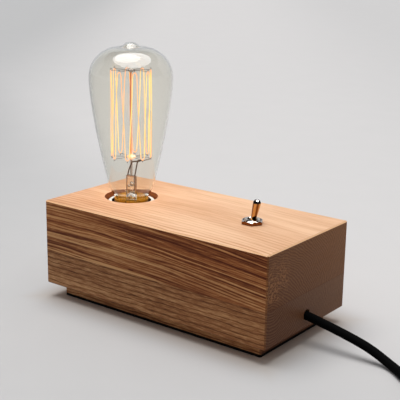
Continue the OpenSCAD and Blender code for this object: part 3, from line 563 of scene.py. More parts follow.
@dataclass(frozen=True)
class Glazed(Finish):
    """Glazed ceramic, phenolic or another hard shiny solid."""

    colour: Colour
    speck: Colour
    roughness: float = 0.25
    coat: float = 0.6

    def hue(self) -> Field | Colour:
        """The body's colour."""
        return self.colour

    def shade(self) -> None:
        """A body colour with faint clouds and specks under a clear glaze."""
        g = self.graph
        clouds = g.grain(0.12, 3)
        specks = g.grain(1.6).rise(0.66, 0.74)
        g.surface(
            Base_Color=g.mix(clouds.rise(0.45, 0.8) * 0.25 + specks * 0.3, self.hue(), self.speck),
            Roughness=self.roughness + clouds.swing(0.1),
            Coat_Weight=self.coat,
            Coat_Roughness=0.05,
            Normal=g.bump(clouds, 0.1 * MM, 0.2),
        )


@dataclass(frozen=True)
class HolderGlaze(Glazed):
    """White glaze, in deep shade inside the rim that faces the bulb's cap."""

    depth: Colour = (0.03, 0.017, 0.01)
    axis_x: float = -60.5
    rim_r: float = 15.5

    def hue(self) -> Field:
        """White outside the rim and dark inside it.

        Returns:
            The body's colour.
        """
        x, y, _ = self.graph.place
        reach = ((x - self.axis_x) ** 2 + y**2).root()
        return self.graph.mix(reach.rise(self.rim_r + 0.2, self.rim_r - 0.2), self.colour, self.depth)


@dataclass(frozen=True)
class Moulded(Finish):
    """Moulded plastic or rubber with a fine sparked texture."""

    colour: Colour = (0.012, 0.012, 0.012)
    worn: Colour = (0.03, 0.03, 0.03)
    roughness: float = 0.5
    texture: float = 0.03

    def shade(self) -> None:
        """Plastic with a fine even texture and slight wear."""
        g = self.graph
        spark = g.grain(2.4, 3, 0.65)
        g.surface(
            Base_Color=g.mix(g.grain(0.2, 3).rise(0.45, 0.8), self.colour, self.worn),
            Roughness=self.roughness + spark.swing(0.2),
            Normal=g.bump(spark, self.texture * MM, 0.6),
        )


@dataclass(frozen=True)
class Felt(Finish):
    """Short matted fibres."""

    colour: Colour = (0.002, 0.002, 0.002)
    tuft: Colour = (0.01, 0.009, 0.008)

    def shade(self) -> None:
        """Felt with loose paler hairs."""
        g = self.graph
        mat = g.grain(1.8, 4, 0.75)
        hairs = g.grain((0.7, 3.0, 2.0), 3, 0.7)
        g.surface(
            Base_Color=g.mix((hairs * 0.5 + mat * 0.5).rise(0.45, 0.7), self.colour, self.tuft),
            Roughness=0.95,
            Specular_IOR_Level=0.1,
            Normal=g.bump(mat, 0.25 * MM, 0.8),
        )


@dataclass(frozen=True)
class Braid(Finish):
    """Yarn braided round a lead or woven into a strap; reads the piece's own UV in millimetres."""

    colour: Colour = (0.001, 0.001, 0.001)
    crown: Colour = (0.0028, 0.0028, 0.003)
    pitch: float = 1.1

    def shade(self) -> None:
        """Two sets of yarns that cross over and under each other."""
        g = self.graph
        along, around, _ = g.parts(g.node("ShaderNodeTexCoord", output="UV"))
        left, right = ((along + around) / self.pitch).wave(), ((along - around) / self.pitch).wave()
        over = (left * right) * 0.5 + 0.5
        fuzz = g.noise(along * 2.2, around * 2.2, 0.0, 3, 0.7)
        height = over * 0.8 + fuzz * 0.35
        g.surface(
            Base_Color=g.mix(height.rise(0.3, 1.0), self.colour, self.crown),
            Roughness=0.82 - over * 0.12,
            Specular_IOR_Level=0.025,
            Normal=g.bump(height, 0.12 * MM, 0.6),
        )


@dataclass(frozen=True)
class Glow(Finish):
    """A wire that glows, cooler near its hooks."""

    hot: Colour = (1.0, 0.66, 0.2)
    cool: Colour = (0.95, 0.44, 0.2)
    wire: Colour = (0.05, 0.03, 0.02)
    strength: float = 1.45
    low: float = 110.0
    high: float = 177.0

    def shade(self) -> None:
        """Light along the wire, with a slow change from strand to strand."""
        g = self.graph
        z = g.place[2]
        ends = z.rise(self.low, self.low + 5) * z.rise(self.high, self.high - 5)
        strand = g.grain((0.16, 0.16, 0.006))
        g.surface(
            Base_Color=self.wire,
            Roughness=0.6,
            Emission_Color=g.mix(ends * strand.rise(0.36, 0.58), self.cool, self.hot),
            Emission_Strength=self.strength,
        )


@dataclass(frozen=True)
class LitRod(Finish):
    """A glass rod that glows with painted light: the glow of the wires round it."""

    colour: Colour = (0.62, 0.2, 0.04)
    # pale and bright: painted highlights, on one side and at the lower bead.
    pale: Colour = (1.0, 0.66, 0.46)
    clear: Colour = (0.55, 0.5, 0.46)
    bright: Colour = (2.4, 1.5, 0.9)
    dark: Colour = (0.0, 0.0, 0.0)
    axis_x: float = -60.5
    strength: float = 0.3
    low: float = 110.0
    high: float = 177.0

    def shade(self) -> None:
        """Painted glow, deep orange on one side, with a painted highlight paler on the other and brightest at the lower
        bead.
        """
        g = self.graph
        x, y, z = g.place
        across = (x - self.axis_x) * 0.8 + y * 0.6 + g.grain((0.3, 0.3, 0.05)).swing(0.3)
        lit = z.rise(self.low - 3.5, self.low - 1.5) * z.rise(self.high - 1.0, self.high - 2.5)
        colour = g.mix(across.rise(-0.1, 0.7), self.colour, self.pale)
        g.surface(
            Base_Color=g.mix(lit, self.clear, colour),
            Roughness=0.15,
            Transmission_Weight=0.6,
            Emission_Color=g.mix(lit, self.dark, g.mix(z.dip(self.low, 3.0) * 2.0, colour, self.bright)),
            Emission_Strength=self.strength,
        )


@dataclass(frozen=True)
class StudioFloor(Finish):
    """Seamless pale paper with painted light: a little lighter to the back and the right."""

    # near and far: the paper's tones for a painted light gradient; bounce: painted warm shade by the block.
    near: Colour = paint(180, 180, 180)
    far: Colour = paint(231, 227, 225)
    bounce: Colour = (0.88, 0.8, 0.72)
    block_x: float = 92.0
    block_y: float = 41.0

    def shade(self) -> None:
        """Matt paper with a slow gradient of painted light, and painted warm shade close to the block."""
        g = self.graph
        x, y, z = g.place
        behind = x * 0.35 + y * 0.65
        across = x * 0.8 + y * 0.6
        # Painted light: the paper grows lighter to the back, darker far to the left and a little darker far to the
        # right.
        share = 0.29 + behind.rise(-20.0, 120.0) * 0.28 - across.rise(-130.0, -520.0) * 0.46
        share = share - across.rise(100.0, 600.0) * 0.18 + g.noise(x * 0.02, y * 0.02, z, 3).swing(0.06)
        # Painted warm shade close to the block.
        beyond = (x.size() - self.block_x).over(y.size() - self.block_y)
        colour = g.mix(beyond.rise(32.0, 0.0), g.mix(share, self.near, self.far), self.bounce, "MULTIPLY")
        g.surface(Base_Color=colour, Roughness=0.95, Specular_IOR_Level=0.1)


UPPER_ASH = Timber("ash_bold")
LOWER_ASH = Timber(
    "ash_fine",
    cut=Cut.FINE,
    side_dark=paint(78, 44, 22),
    side_mid=paint(136, 89, 54),
    side_pale=paint(188, 143, 99),
    end_dark=paint(82, 47, 29),
    end_pale=paint(144, 102, 70),
)
GLASS = ClearGlass("blown_glass")
STEM_GLASS = SealGlass("seal_glass", (0.93, 0.93, 0.91), (0.3, 0.3, 0.2), 0.3)
CHROME = Metal("chrome_plate", (0.6, 0.55, 0.5), (0.4, 0.35, 0.3), 0.07, 0.04, 0.2)
NUT_CHROME = PaintedNutPlate("nut_plate_painted_reflections", (0.6, 0.57, 0.54), (0.3, 0.2, 0.13), 0.07, 0.04, 0.2)
LEVER_CHROME = PaintedLeverPlate("lever_plate_painted_reflections", (0.8, 0.79, 0.77), (0.3, 0.14, 0.06), 0.06, 0.03, 0.15)
CAP_BRASS = Metal("rolled_brass", (0.68, 0.29, 0.012), (0.12, 0.03, 0.002), 0.34, 0.1, 1.0, 0.55)
STEEL = Metal("zinc_plate", (0.5, 0.51, 0.52), (0.3, 0.31, 0.33), 0.35, 0.15)
BRASS = Metal("brass_sheet", (0.58, 0.34, 0.07), (0.3, 0.16, 0.04), 0.22, 0.15)
COPPER = Metal("copper_strip", (0.75, 0.36, 0.16), (0.45, 0.2, 0.1), 0.3, 0.15, metallic=0.7)
SOLDER = Metal("solder", (0.55, 0.55, 0.55), (0.35, 0.35, 0.36), 0.4, 0.2)
SUPPORT_WIRE = Metal("hook_wire", (0.12, 0.1, 0.09), (0.06, 0.05, 0.05), 0.35, 0.1)
LEAD_WIRE = Metal("stout_wire", (0.05, 0.036, 0.03), (0.02, 0.016, 0.014), 0.45, 0.1)
PORCELAIN = HolderGlaze("glazed_porcelain", paint(236, 232, 222), paint(200, 190, 172))
PHENOLIC = Glazed("phenolic", paint(64, 34, 24), paint(92, 56, 38), 0.35, 0.3)
VITRITE = Glazed("black_glass", (0.01, 0.01, 0.012), (0.03, 0.03, 0.03), 0.15, 0.4)
NYLON = Moulded("white_nylon", paint(220, 218, 208), paint(190, 186, 172), 0.45)
PLUG_PLASTIC = Moulded("black_plastic", roughness=0.42)
JACKET = Moulded("black_jacket", roughness=0.6)
BROWN_WIRE = Moulded("brown_sleeve", paint(96, 52, 30), paint(120, 72, 44), 0.4)
BLUE_WIRE = Moulded("blue_sleeve", paint(40, 84, 150), paint(70, 110, 170), 0.4)
FELT = Felt("black_felt")
SLEEVE = Braid("braided_sleeve")
STRAP = Braid("woven_strap", pitch=1.6)
FILAMENT = Glow("glowing_filament")
LIT_ROD = LitRod("lit_glass_rod")
FLOOR = StudioFloor("studio_paper")


# ---- mesh tools ----


def polar(reach: float, angle: float, height: float = 0.0) -> Vector:
    """A point at a distance and an angle round the upright axis, at a height."""
    return Vector((reach * math.cos(angle), reach * math.sin(angle), height))


def ease(t: float) -> float:
    """A smooth step from 0 to 1."""
    return t * t * (3 - 2 * t)


def arc(radius: float, height: float, angles: range) -> Profile:
    """A ball's outline in the plane, at angles in degrees over its equator."""
    return [(radius * math.cos(math.radians(a)), height + radius * math.sin(math.radians(a))) for a in angles]


def oval(wide: float, deep: float, power: float = 1.0) -> Profile:
    """A closed ring of two half widths: an ellipse at power 1, squarer below it."""
    rims = [polar(1.0, TURN * i / OVAL_SIDES) for i in range(OVAL_SIDES)]
    return [tuple(half * math.copysign(abs(v) ** power, v) for half, v in zip((wide, deep), rim)) for rim in rims]


def bend(line: Profile, b: tuple, c: tuple, d: tuple, steps: int) -> Profile:
    """A line in the plane, carried on by a cubic curve from its last point.

    Args:
        line: the line so far.
        b: the curve's first handle.
        c: its second handle.
        d: its end.
        steps: how many points it has.

    Returns:
        The longer line.
    """
    curve = []
    for i in range(1, steps + 1):
        t, u = i / steps, 1 - i / steps
        weights = (u**3, 3 * u * u * t, 3 * u * t * t, t**3)
        curve.append(tuple(sum(w * p[k] for w, p in zip(weights, (line[-1], b, c, d))) for k in (0, 1)))
    return line + curve


def smooth(route: list[Vector], steps: int) -> list[Vector]:
    """A curve through all the points of a route.

    Args:
        route: the points.
        steps: how many steps each span has.

    Returns:
        The curve's points.
    """
    made = []
    for i in range(len(route) - 1):
        a, b = route[max(i - 1, 0)], route[i]
        c, d = route[i + 1], route[min(i + 2, len(route) - 1)]
        square, cube = 2 * a - 5 * b + 4 * c - d, 3 * b - a - 3 * c + d
        for t in (k / steps for k in range(steps)):
            made.append(0.5 * (2 * b + (c - a) * t + square * t**2 + cube * t**3))
    return made + [route[-1]]


def beside(line: Profile, gap: float) -> Profile:
    """A line in the plane moved sideways, to the left of its direction.

    Args:
        line: the line.
        gap: how far it moves.

    Returns:
        The moved line.
    """
    made = []
    for i, (x, y) in enumerate(line):
        (x0, y0), (x1, y1) = line[max(i - 1, 0)], line[min(i + 1, len(line) - 1)]
        long = math.hypot(x1 - x0, y1 - y0)
        made.append((x - gap * (y1 - y0) / long, y + gap * (x1 - x0) / long))
    return made


def hang(name: str, data: bpy.types.ID) -> bpy.types.Object:
    """Puts a new object in the scene.

    Args:
        name: its name.
        data: its mesh, light or camera.

    Returns:
        The object.
    """
    made = bpy.data.objects.new(name, data)
    bpy.context.scene.collection.objects.link(made)
    return made


class Shell:
    """A mesh in the making: points, faces and, where it has one, a UV for each corner."""

    def __init__(self) -> None:
        """Starts empty."""
        self.work = bmesh.new()
        self.map = self.work.loops.layers.uv.new("along")

    def face(self, corners: list[bmesh.types.BMVert], slot: int = 0) -> bmesh.types.BMFace | None:
        """One face, left out where its corners coincide.

        Args:
            corners: its points in order.
            slot: its material slot.

        Returns:
            The face.
        """
        once = list(dict.fromkeys(corners))
        if len(once) < 3:
            return None
        made = self.work.faces.new(once)
        made.smooth = True
        made.material_index = slot
        return made

    def rings(self, rings: list[list[Vector]], closed: bool = False, slot: int = 0) -> None:
        """A skin over rings of equally many points.

        Args:
            rings: the rings in order; a ring whose points coincide is a pole.
            closed: whether the last ring joins the first.
            slot: the material slot.
        """
        made = []
        for ring in rings:
            pole = max((p - ring[0]).length for p in ring) < POLE
            once = [self.work.verts.new(p) for p in (ring[:1] if pole else ring)]
            made.append(once * len(ring) if pole else once)
        for low, high in zip(made, made[1:] + made[:closed]):
            for i in range(len(low)):
                j = (i + 1) % len(low)
                self.face([low[i], low[j], high[j], high[i]], slot)

    def turn(
        self, section: Callable[[float], Profile], sides: int, centre: Vector, closed: bool = False, slot: int = 0
    ) -> None:
        """A form round an upright axis, whose section may change with the angle.

        Args:
            section: gives the radius and height of each ring at an angle, in millimetres.
            sides: points round a ring.
            centre: where height 0 is, in metres.
            closed: whether the section is a loop.
            slot: the material slot.
        """
        angles = [TURN * i / sides for i in range(sides)]
        cuts = [[centre + polar(r * MM, a, z * MM) for r, z in section(a)] for a in angles]
        self.rings([list(ring) for ring in zip(*cuts)], closed, slot)

    def lathe(self, line: Profile, sides: int, centre: Vector, closed: bool = False, slot: int = 0) -> None:
        """A turned form with the same section all round."""
        self.turn(lambda angle: line, sides, centre, closed, slot)

    def tube(self, route: list[Vector], radius: float, sides: int, slot: int = 0) -> None:
        """A round tube along a route, with flat ends and a UV in millimetres.

        Args:
            route: the points of its middle.
            radius: its radius.
            sides: points round it.
            slot: the material slot.
        """
        rings, along, run, side = [], [], 0.0, None
        turns = [TURN * k / sides for k in range(sides)]
        for i, point in enumerate(route):
            ahead = (route[min(i + 1, len(route) - 1)] - route[max(i - 1, 0)]).normalized()
            if side is None:
                side = ahead.cross(Vector((0.01, 0.02, 1.0))).normalized()
            else:
                side = (side - ahead * side.dot(ahead)).normalized()
                run += (point - route[i - 1]).length
            up = ahead.cross(side)
            rings.append([self.work.verts.new(point + radius * (math.cos(a) * side + math.sin(a) * up)) for a in turns])
            along.append(run / MM)
        girth = TURN * radius / MM
        for i in range(len(rings) - 1):
            for k in range(sides):
                n = (k + 1) % sides
                made = self.face([rings[i][k], rings[i + 1][k], rings[i + 1][n], rings[i][n]], slot)
                places = [(i, k), (i + 1, k), (i + 1, k + 1), (i, k + 1)]
                for loop, (row, column) in zip(made.loops, places):
                    loop[self.map].uv = (along[row], girth * column / sides)
        self.face(rings[0], slot)
        self.face(rings[-1][::-1], slot)

    def mesh(self, name: str) -> bpy.types.Mesh:
        """Ends the making.

        Args:
            name: the mesh's name.

        Returns:
            The mesh.
        """
        made = bpy.data.meshes.new(name)
        self.work.to_mesh(made)
        self.work.free()
        return made

    def piece(
        self, name: str, body: Body, slot: str, *finishes: Finish, sharp: float = 35.0, hollow: bool = False
    ) -> bpy.types.Object:
        """The mesh as a piece of the lamp that moves with a body.

        Args:
            name: the piece's name.
            body: the body that it rides on.
            slot: the material slot of the record that it stands for; not used.
            finishes: its own materials.
            sharp: the angle in degrees above which an edge stays sharp.
            hollow: whether it is a hole in another solid, and so faces inwards.

        Returns:
            The object.
        """
        bmesh.ops.recalc_face_normals(self.work, faces=self.work.faces)
        if hollow:
            bmesh.ops.reverse_faces(self.work, faces=self.work.faces)
        mesh = self.mesh(name)
        mesh.set_sharp_from_angle(angle=math.radians(sharp))
        for finish in finishes:
            mesh.materials.append(finish.material)
        made = hang(name, mesh)
        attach(made, body.value)
        log.info("piece %s: %d faces", name, len(mesh.polygons))
        return made


def dress(finish: Finish, *nodes: str) -> None:
    """Gives construction pieces a finish.

    Args:
        finish: what they are finished in.
        nodes: their names.
    """
    for node in nodes:
        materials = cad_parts[node].data.materials
        materials.clear()
        materials.append(finish.material)
        log.info("dressed %s in %s", node, finish.name)


def soften(width: float, *nodes: str) -> None:
    """Rounds the edges of construction pieces for the light to catch.

    Args:
        width: the rounding's width.
        nodes: their names.
    """
    for node in nodes:
        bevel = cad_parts[node].modifiers.new("eased", "BEVEL")
        bevel.width = width
        bevel.segments = 2
        bevel.limit_method = "ANGLE"
        bevel.angle_limit = math.radians(30)


def upright(node: str, height: float) -> Vector:
    """The point on the upright axis of a construction piece at a height."""
    low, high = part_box(node)
    return Vector(((low.x + high.x) / 2, (low.y + high.y) / 2, height))


# ---- sub-assemblies ----


@dataclass
class Studio:
    """The camera at the photograph's viewpoint, the floor and the lights."""

    eye: tuple = (0.42615, -0.55036, 0.28008)
    yaw: float = math.radians(37.278)
    pitch: float = math.radians(15.591)
    roll: float = math.radians(0.905)
    focal_share: float = 967.94 / 400
    sensor: float = 36.0
    clip: float = 0.01
    floor_reach: float = 9.0
    floor_drop: float = 0.2 * MM
    sun_power: float = 2.3
    sun_spread: float = math.radians(44)
    sun_tilt: float = math.radians(-8)
    box_power: float = 38
    box_wide: float = 1.68
    box_at: tuple = (0.08, -0.05, 1.3)
    tent_reach: float = 3.0
    tent_step: int = 10
    paper_way: float = 127.0
    paper_reach: float = 80.0
    paper_high: int = 40
    sky: Colour = (0.95, 0.97, 1.0)
    sky_power: float = 0.4
    sky_shown: float = 0.25

    def camera(self) -> None:
        """Sets the camera."""
        near = math.cos(self.pitch)
        ahead = Vector((-math.sin(self.yaw) * near, math.cos(self.yaw) * near, -math.sin(self.pitch)))
        level = polar(1.0, self.yaw)
        right = level * math.cos(self.roll) + level.cross(ahead) * math.sin(self.roll)
        data = bpy.data.cameras.new("camera")
        data.sensor_fit = "HORIZONTAL"
        data.sensor_width = self.sensor
        data.lens = self.focal_share * self.sensor
        data.clip_start = self.clip
        made = hang("camera", data)
        turn = Matrix((right, right.cross(ahead), -ahead)).transposed().to_4x4()
        made.matrix_world = Matrix.Translation(Vector(self.eye)) @ turn
        bpy.context.scene.camera = made

    def floor(self) -> None:
        """Lays the paper that the lamp stands on."""
        mesh = bpy.data.meshes.new("floor")
        r = self.floor_reach
        mesh.from_pydata([(-r, -r, 0), (r, -r, 0), (r, r, 0), (-r, r, 0)], [], [(0, 1, 2, 3)])
        mesh.materials.append(FLOOR.material)
        made = hang("floor", mesh)
        made.location.z = -self.floor_drop

    def lights(self) -> None:
        """Hangs a broad soft light overhead and a softbox that shows in shiny surfaces."""
        sun = bpy.data.lights.new("overhead", "SUN")
        sun.energy = self.sun_power
        sun.angle = self.sun_spread
        hung = hang("overhead", sun)
        hung.rotation_euler = (0, self.sun_tilt, 0)
        hung.visible_glossy = False
        box = bpy.data.lights.new("softbox", "AREA")
        box.shape = "DISK"
        box.size = self.box_wide
        box.energy = self.box_power
        lamp = hang("softbox", box)
        lamp.location = self.box_at
        lamp.visible_diffuse = False
        lamp.visible_transmission = False

    def away(self, turn: float, rise: float) -> Vector:
        """A point of the tent at a heading and an elevation in degrees."""
        tilt = math.radians(rise)
        return polar(math.cos(tilt), math.radians(turn), math.sin(tilt)) * self.tent_reach

    def tent(self) -> None:
        """Puts up the black cloth above and in front that shows only in shiny surfaces."""
        shell = Shell()
        step, reach = self.tent_step, math.cos(math.radians(self.paper_reach))
        for turn in range(0, 360, step):
            paper = math.cos(math.radians(turn + step / 2 - self.paper_way)) > reach
            for rise in range(self.paper_high if paper else step, 90, step):
                corners = ((turn, rise), (turn + step, rise), (turn + step, rise + step), (turn, rise + step))
                shell.face([shell.work.verts.new(self.away(*corner)) for corner in corners])
        mesh = shell.mesh("tent")
        mesh.materials.append(FELT.material)
        made = hang("tent", mesh)
        for kind in ("camera", "diffuse", "transmission", "shadow", "volume_scatter"):
            setattr(made, f"visible_{kind}", False)

    def room(self) -> None:
        """Fills the room with pale light, a little brighter where it is seen."""
        world = bpy.data.worlds.new("room")
        bpy.context.scene.world = world
        g = Graph(world)
        camera, through, glossy = (
            g.node("ShaderNodeLightPath", output=f"Is {kind} Ray") for kind in ("Camera", "Transmission", "Glossy")
        )
        seen = (camera + through + glossy).maths("MINIMUM", 1.0)
        sky = g.node("ShaderNodeBackground", {}, {0: self.sky, 1: self.sky_power + seen * self.sky_shown})
        g.node("ShaderNodeOutputWorld", {}, {"Surface": sky})

    def build(self) -> None:
        """Sets up the studio."""
        self.camera()
        self.floor()
        self.lights()
        self.tent()
        self.room()
        bpy.context.scene.view_settings.view_transform = "Standard"


@dataclass
class Lead:
    """The mains lead with its coil, tie and plug; places are in millimetres."""

    thick: float = 6.4 * MM
    length: float = 1.73
    hole: tuple = (103, 0, 20.3)
    route: tuple = (
        (78, 0, 20.3), (84, 0, 20.3), (90, 0, 20.3), (97, 0, 20.3), (103, 0, 20.2), (112, 0, 18.7),
        (122, 0, 16.8), (132, 0, 14.8), (142, 0, 12.5), (150, 0, 10.4), (158, -0.2, 7.6), (165, -1, 5),
        (171, -3, 3.6), (176, -5.8, 3.3), (181, -9.4, 3.3), (188, -14.9, 3.3), (196, -21.1, 3.3),
    )
    tail: tuple = (
        (221, -37.5, 12.6), (231, -39.5, 14.8), (240.5, -39.5, 16.3), (250.5, -37, 16.5), (259.5, -32.5, 16.5),
        (267, -26.5, 16.5), (273, -18.5, 16.8), (277, -10, 17.4), (279, -1, 18.2), (278.5, 8, 19.1),
        (275.2, 16, 19.8), (271, 21.2, 20), (268.1, 24, 20),
    )
    coil_at: tuple = (239, 6, 0)
    coil_out: float = 48.0
    coil_in: float = 28.8
    coil_start: float = 232.0
    coil_turns: int = 3
    climb: float = 72.0
    low: float = 3.3
    high: float = 9.7
    tie_angle: float = 160.0
    tie_in: float = 24.9
    tie_out: float = 51.5
    tie_top: float = 13.4
    tie_bend: float = 2.4
    tie_thick: float = 0.9
    tie_wide: float = 11.8
    plug_at: tuple = (268, 24.1, 20)
    plug_turn: float = 136.0
    plug_start: float = 24.0
    plug_long: float = 30.0
    plug_wide: tuple = (8.0, 9.3)
    plug_tall: tuple = (5.9, 0.8)
    plug_square: float = 0.55
    grip_deep: float = 0.55
    grip: tuple = (0.42, 0.84)
    grooves: int = 5
    ribs: int = 5
    rib_pitch: float = 4.2
    rib_deep: float = 0.7
    rib_growth: float = 0.22
    pin_side: float = 9.3
    pin_sleeve: tuple = ((0.0, 0.0), (1.95, 0.0), (1.95, 9.6), (1.9, 9.9))
    pin_tip: tuple = (
        (1.9, 9.9), (2.0, 10.1), (2.0, 16.9), (1.85, 17.8), (1.4, 18.6), (0.7, 18.95), (0.0, 19.0),
    )

    def coil(self) -> list[Vector]:
        """The wound stretch: turns inwards on the floor, then outwards on top of them.

        Returns:
            Its points, in millimetres.
        """
        first = 360 * self.coil_turns
        second, last = first + self.climb, 2 * first
        inwards = self.coil_in - self.coil_out
        points = []
        for turned in range(0, last + 1, 10):
            r, z = self.coil_in, self.high
            if turned <= first:
                r, z = self.coil_out + inwards * turned / first, self.low
            elif turned <= second:
                z = self.low + (self.high - self.low) * ease((turned - first) / self.climb)
            else:
                r -= inwards * (turned - second) / (last - second)
            points.append(Vector(self.coil_at) + polar(r, math.radians(self.coil_start + turned), z))
        return points

    @cached_property
    def path(self) -> list[Vector]:
        """The lead's whole route from inside the block to the plug, in metres."""
        start, end = smooth([Vector(p) for p in self.route], 2), smooth([Vector(p) for p in self.tail], 3)
        return [p * MM for p in start + self.coil() + end]

    @cached_property
    def plug_frame(self) -> Matrix:
        """The plug's own frame: X along the lead, out through the pins."""
        return Matrix.Translation(Vector(self.plug_at) * MM) @ Matrix.Rotation(math.radians(self.plug_turn), 4, "Z")

    @cached_property
    def turned_frame(self) -> Matrix:
        """The plug's frame for turned forms: Z along the lead."""
        return self.plug_frame @ Matrix.Rotation(math.radians(90), 4, "Y")

    def cord(self) -> bpy.types.Object:
        """The lead itself.

        Returns:
            Its piece.
        """
        shell = Shell()
        shell.tube(self.path, self.thick / 2, 16)
        made = shell.piece("mains_lead", Body.BASE, "cord_jacket", SLEEVE)
        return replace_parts(made, "power_cord", "cord_coil", "cord_tail")

    def tie(self) -> bpy.types.Object:
        """The strap round the coil.

        Returns:
            Its piece.
        """
        r, half = self.tie_bend, self.tie_wide / 2
        low, high, top = self.tie_in + r, self.tie_out - r, self.tie_top - r
        turn = Matrix.Rotation(math.radians(self.tie_angle), 4, "Z")
        rings = []
        for side, y in ((0.0, -half), (self.tie_thick, -half), (self.tie_thick, half), (0.0, half)):
            floor = 0.05 - side + self.tie_thick
            ring = []
            for x, z, start in ((high, r, -90), (high, top, 0), (low, top, 90), (low, r, 180)):
                for dx, rise in arc(r + side, z, range(start, start + 91, 18)):
                    ring.append((Vector(self.coil_at) + turn @ Vector((x + dx, y, max(rise, floor)))) * MM)
            rings.append(ring)
        shell = Shell()
        shell.rings(rings, True)
        made = shell.piece("coil_strap", Body.BASE, "tie_fabric", STRAP)
        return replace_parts(made, "coil_tie")

    def relief(self) -> bpy.types.Object:
        """The ribbed sleeve where the lead enters the plug.

        Returns:
            Its piece.
        """
        line = [(3.3, 0.0), (3.9, 0.3)]
        for i in range(self.ribs):
            z, r = 2.0 + self.rib_pitch * i, 4.1 + self.rib_growth * i
            line += [(r, z), (r, z + 2.2), (r - self.rib_deep, z + 2.5), (r - self.rib_deep, z + 3.9)]
        line += [(5.3, 23.2), (5.4, 24.0), (3.3, 24.0)]
        shell = Shell()
        shell.lathe(line, 32, Vector())
        shell.work.transform(self.turned_frame)
        made = shell.piece("plug_relief", Body.BASE, "plug_rubber", PLUG_PLASTIC)
        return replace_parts(made, "plug_strain_relief")

    def plug(self) -> bpy.types.Object:
        """The plug's body: an oval back that widens to a flat-faced front, with finger grooves.

        Returns:
            Its piece.
        """
        first, last = self.grip
        rings = []
        for t, size in [(0.0, 0.0)] + [(k / 40, 1.0) for k in range(41)] + [(1.0, 0.0)]:
            wide = self.plug_wide[0] + self.plug_wide[1] * min(1.0, t / 0.5) ** 1.6
            tall = self.plug_tall[0] + self.plug_tall[1] * min(1.0, t / 0.4)
            if first < t < last:
                wave = math.cos(TURN * self.grooves * (t - first) / (last - first))
                wide -= self.grip_deep * (0.5 - 0.5 * wave)
            edge = min(1.0, t / 0.06, (1 - t) / 0.04)
            size *= 0.9 + 0.1 * math.sqrt(max(0.0, 1 - (1 - edge) ** 2))
            x = self.plug_start + self.plug_long * t
            rings.append([Vector((x, y, z)) * MM for y, z in oval(wide * size, tall * size, self.plug_square)])
        shell = Shell()
        shell.rings(rings)
        shell.work.transform(self.plug_frame)
        made = shell.piece("plug", Body.BASE, "plug_rubber", PLUG_PLASTIC)
        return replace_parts(made, "plug_body")

    def pins(self) -> bpy.types.Object:
        """Two round pins, sleeved near the plug and bright at their tips.

        Returns:
            Their piece.
        """
        shell = Shell()
        for side in (-self.pin_side, self.pin_side):
            root = Vector((0, side, self.plug_start + self.plug_long)) * MM
            for slot, line in enumerate((self.pin_sleeve, self.pin_tip)):
                shell.lathe(line, 24, root, slot=slot)
        shell.work.transform(self.turned_frame)
        bmesh.ops.remove_doubles(shell.work, verts=shell.work.verts, dist=0.001 * MM)
        made = shell.piece("plug_contacts", Body.BASE, "pin_steel", PLUG_PLASTIC, STEEL)
        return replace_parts(made, "plug_pins")

    def build(self) -> None:
        """Makes the lead and everything on it."""
        cord = self.cord()
        on_it = [self.tie(), self.relief(), self.plug(), self.pins()]
        [v * MM for v in self.hole]
        [list(p) for p in self.path]


@dataclass
class Block:
    """The wood block on its plinth."""

    rounding: float = 0.45 * MM

    def build(self) -> None:
        """Dresses the boards, the pad and their screws."""
        dress(UPPER_ASH, "upper_board")
        dress(LOWER_ASH, "lower_board", "plinth_board")
        dress(FELT, "foot_pad")
        dress(BRASS, "plinth_screws")
        soften(self.rounding, "upper_board", "lower_board", "plinth_board")


@dataclass
class Holder:
    """The porcelain lamp holder and its fittings."""

    rounding: float = 0.5 * MM

    def build(self) -> None:
        """Dresses the holder."""
        dress(PORCELAIN, "holder_body")
        soften(self.rounding, "holder_body")
        dress(BRASS, "holder_screw_shell", "holder_shell_strap", "holder_terminals")
        dress(COPPER, "holder_contact_leaf")
        dress(STEEL, "terminal_screws", "holder_bracket", "bracket_screws", "holder_screws")


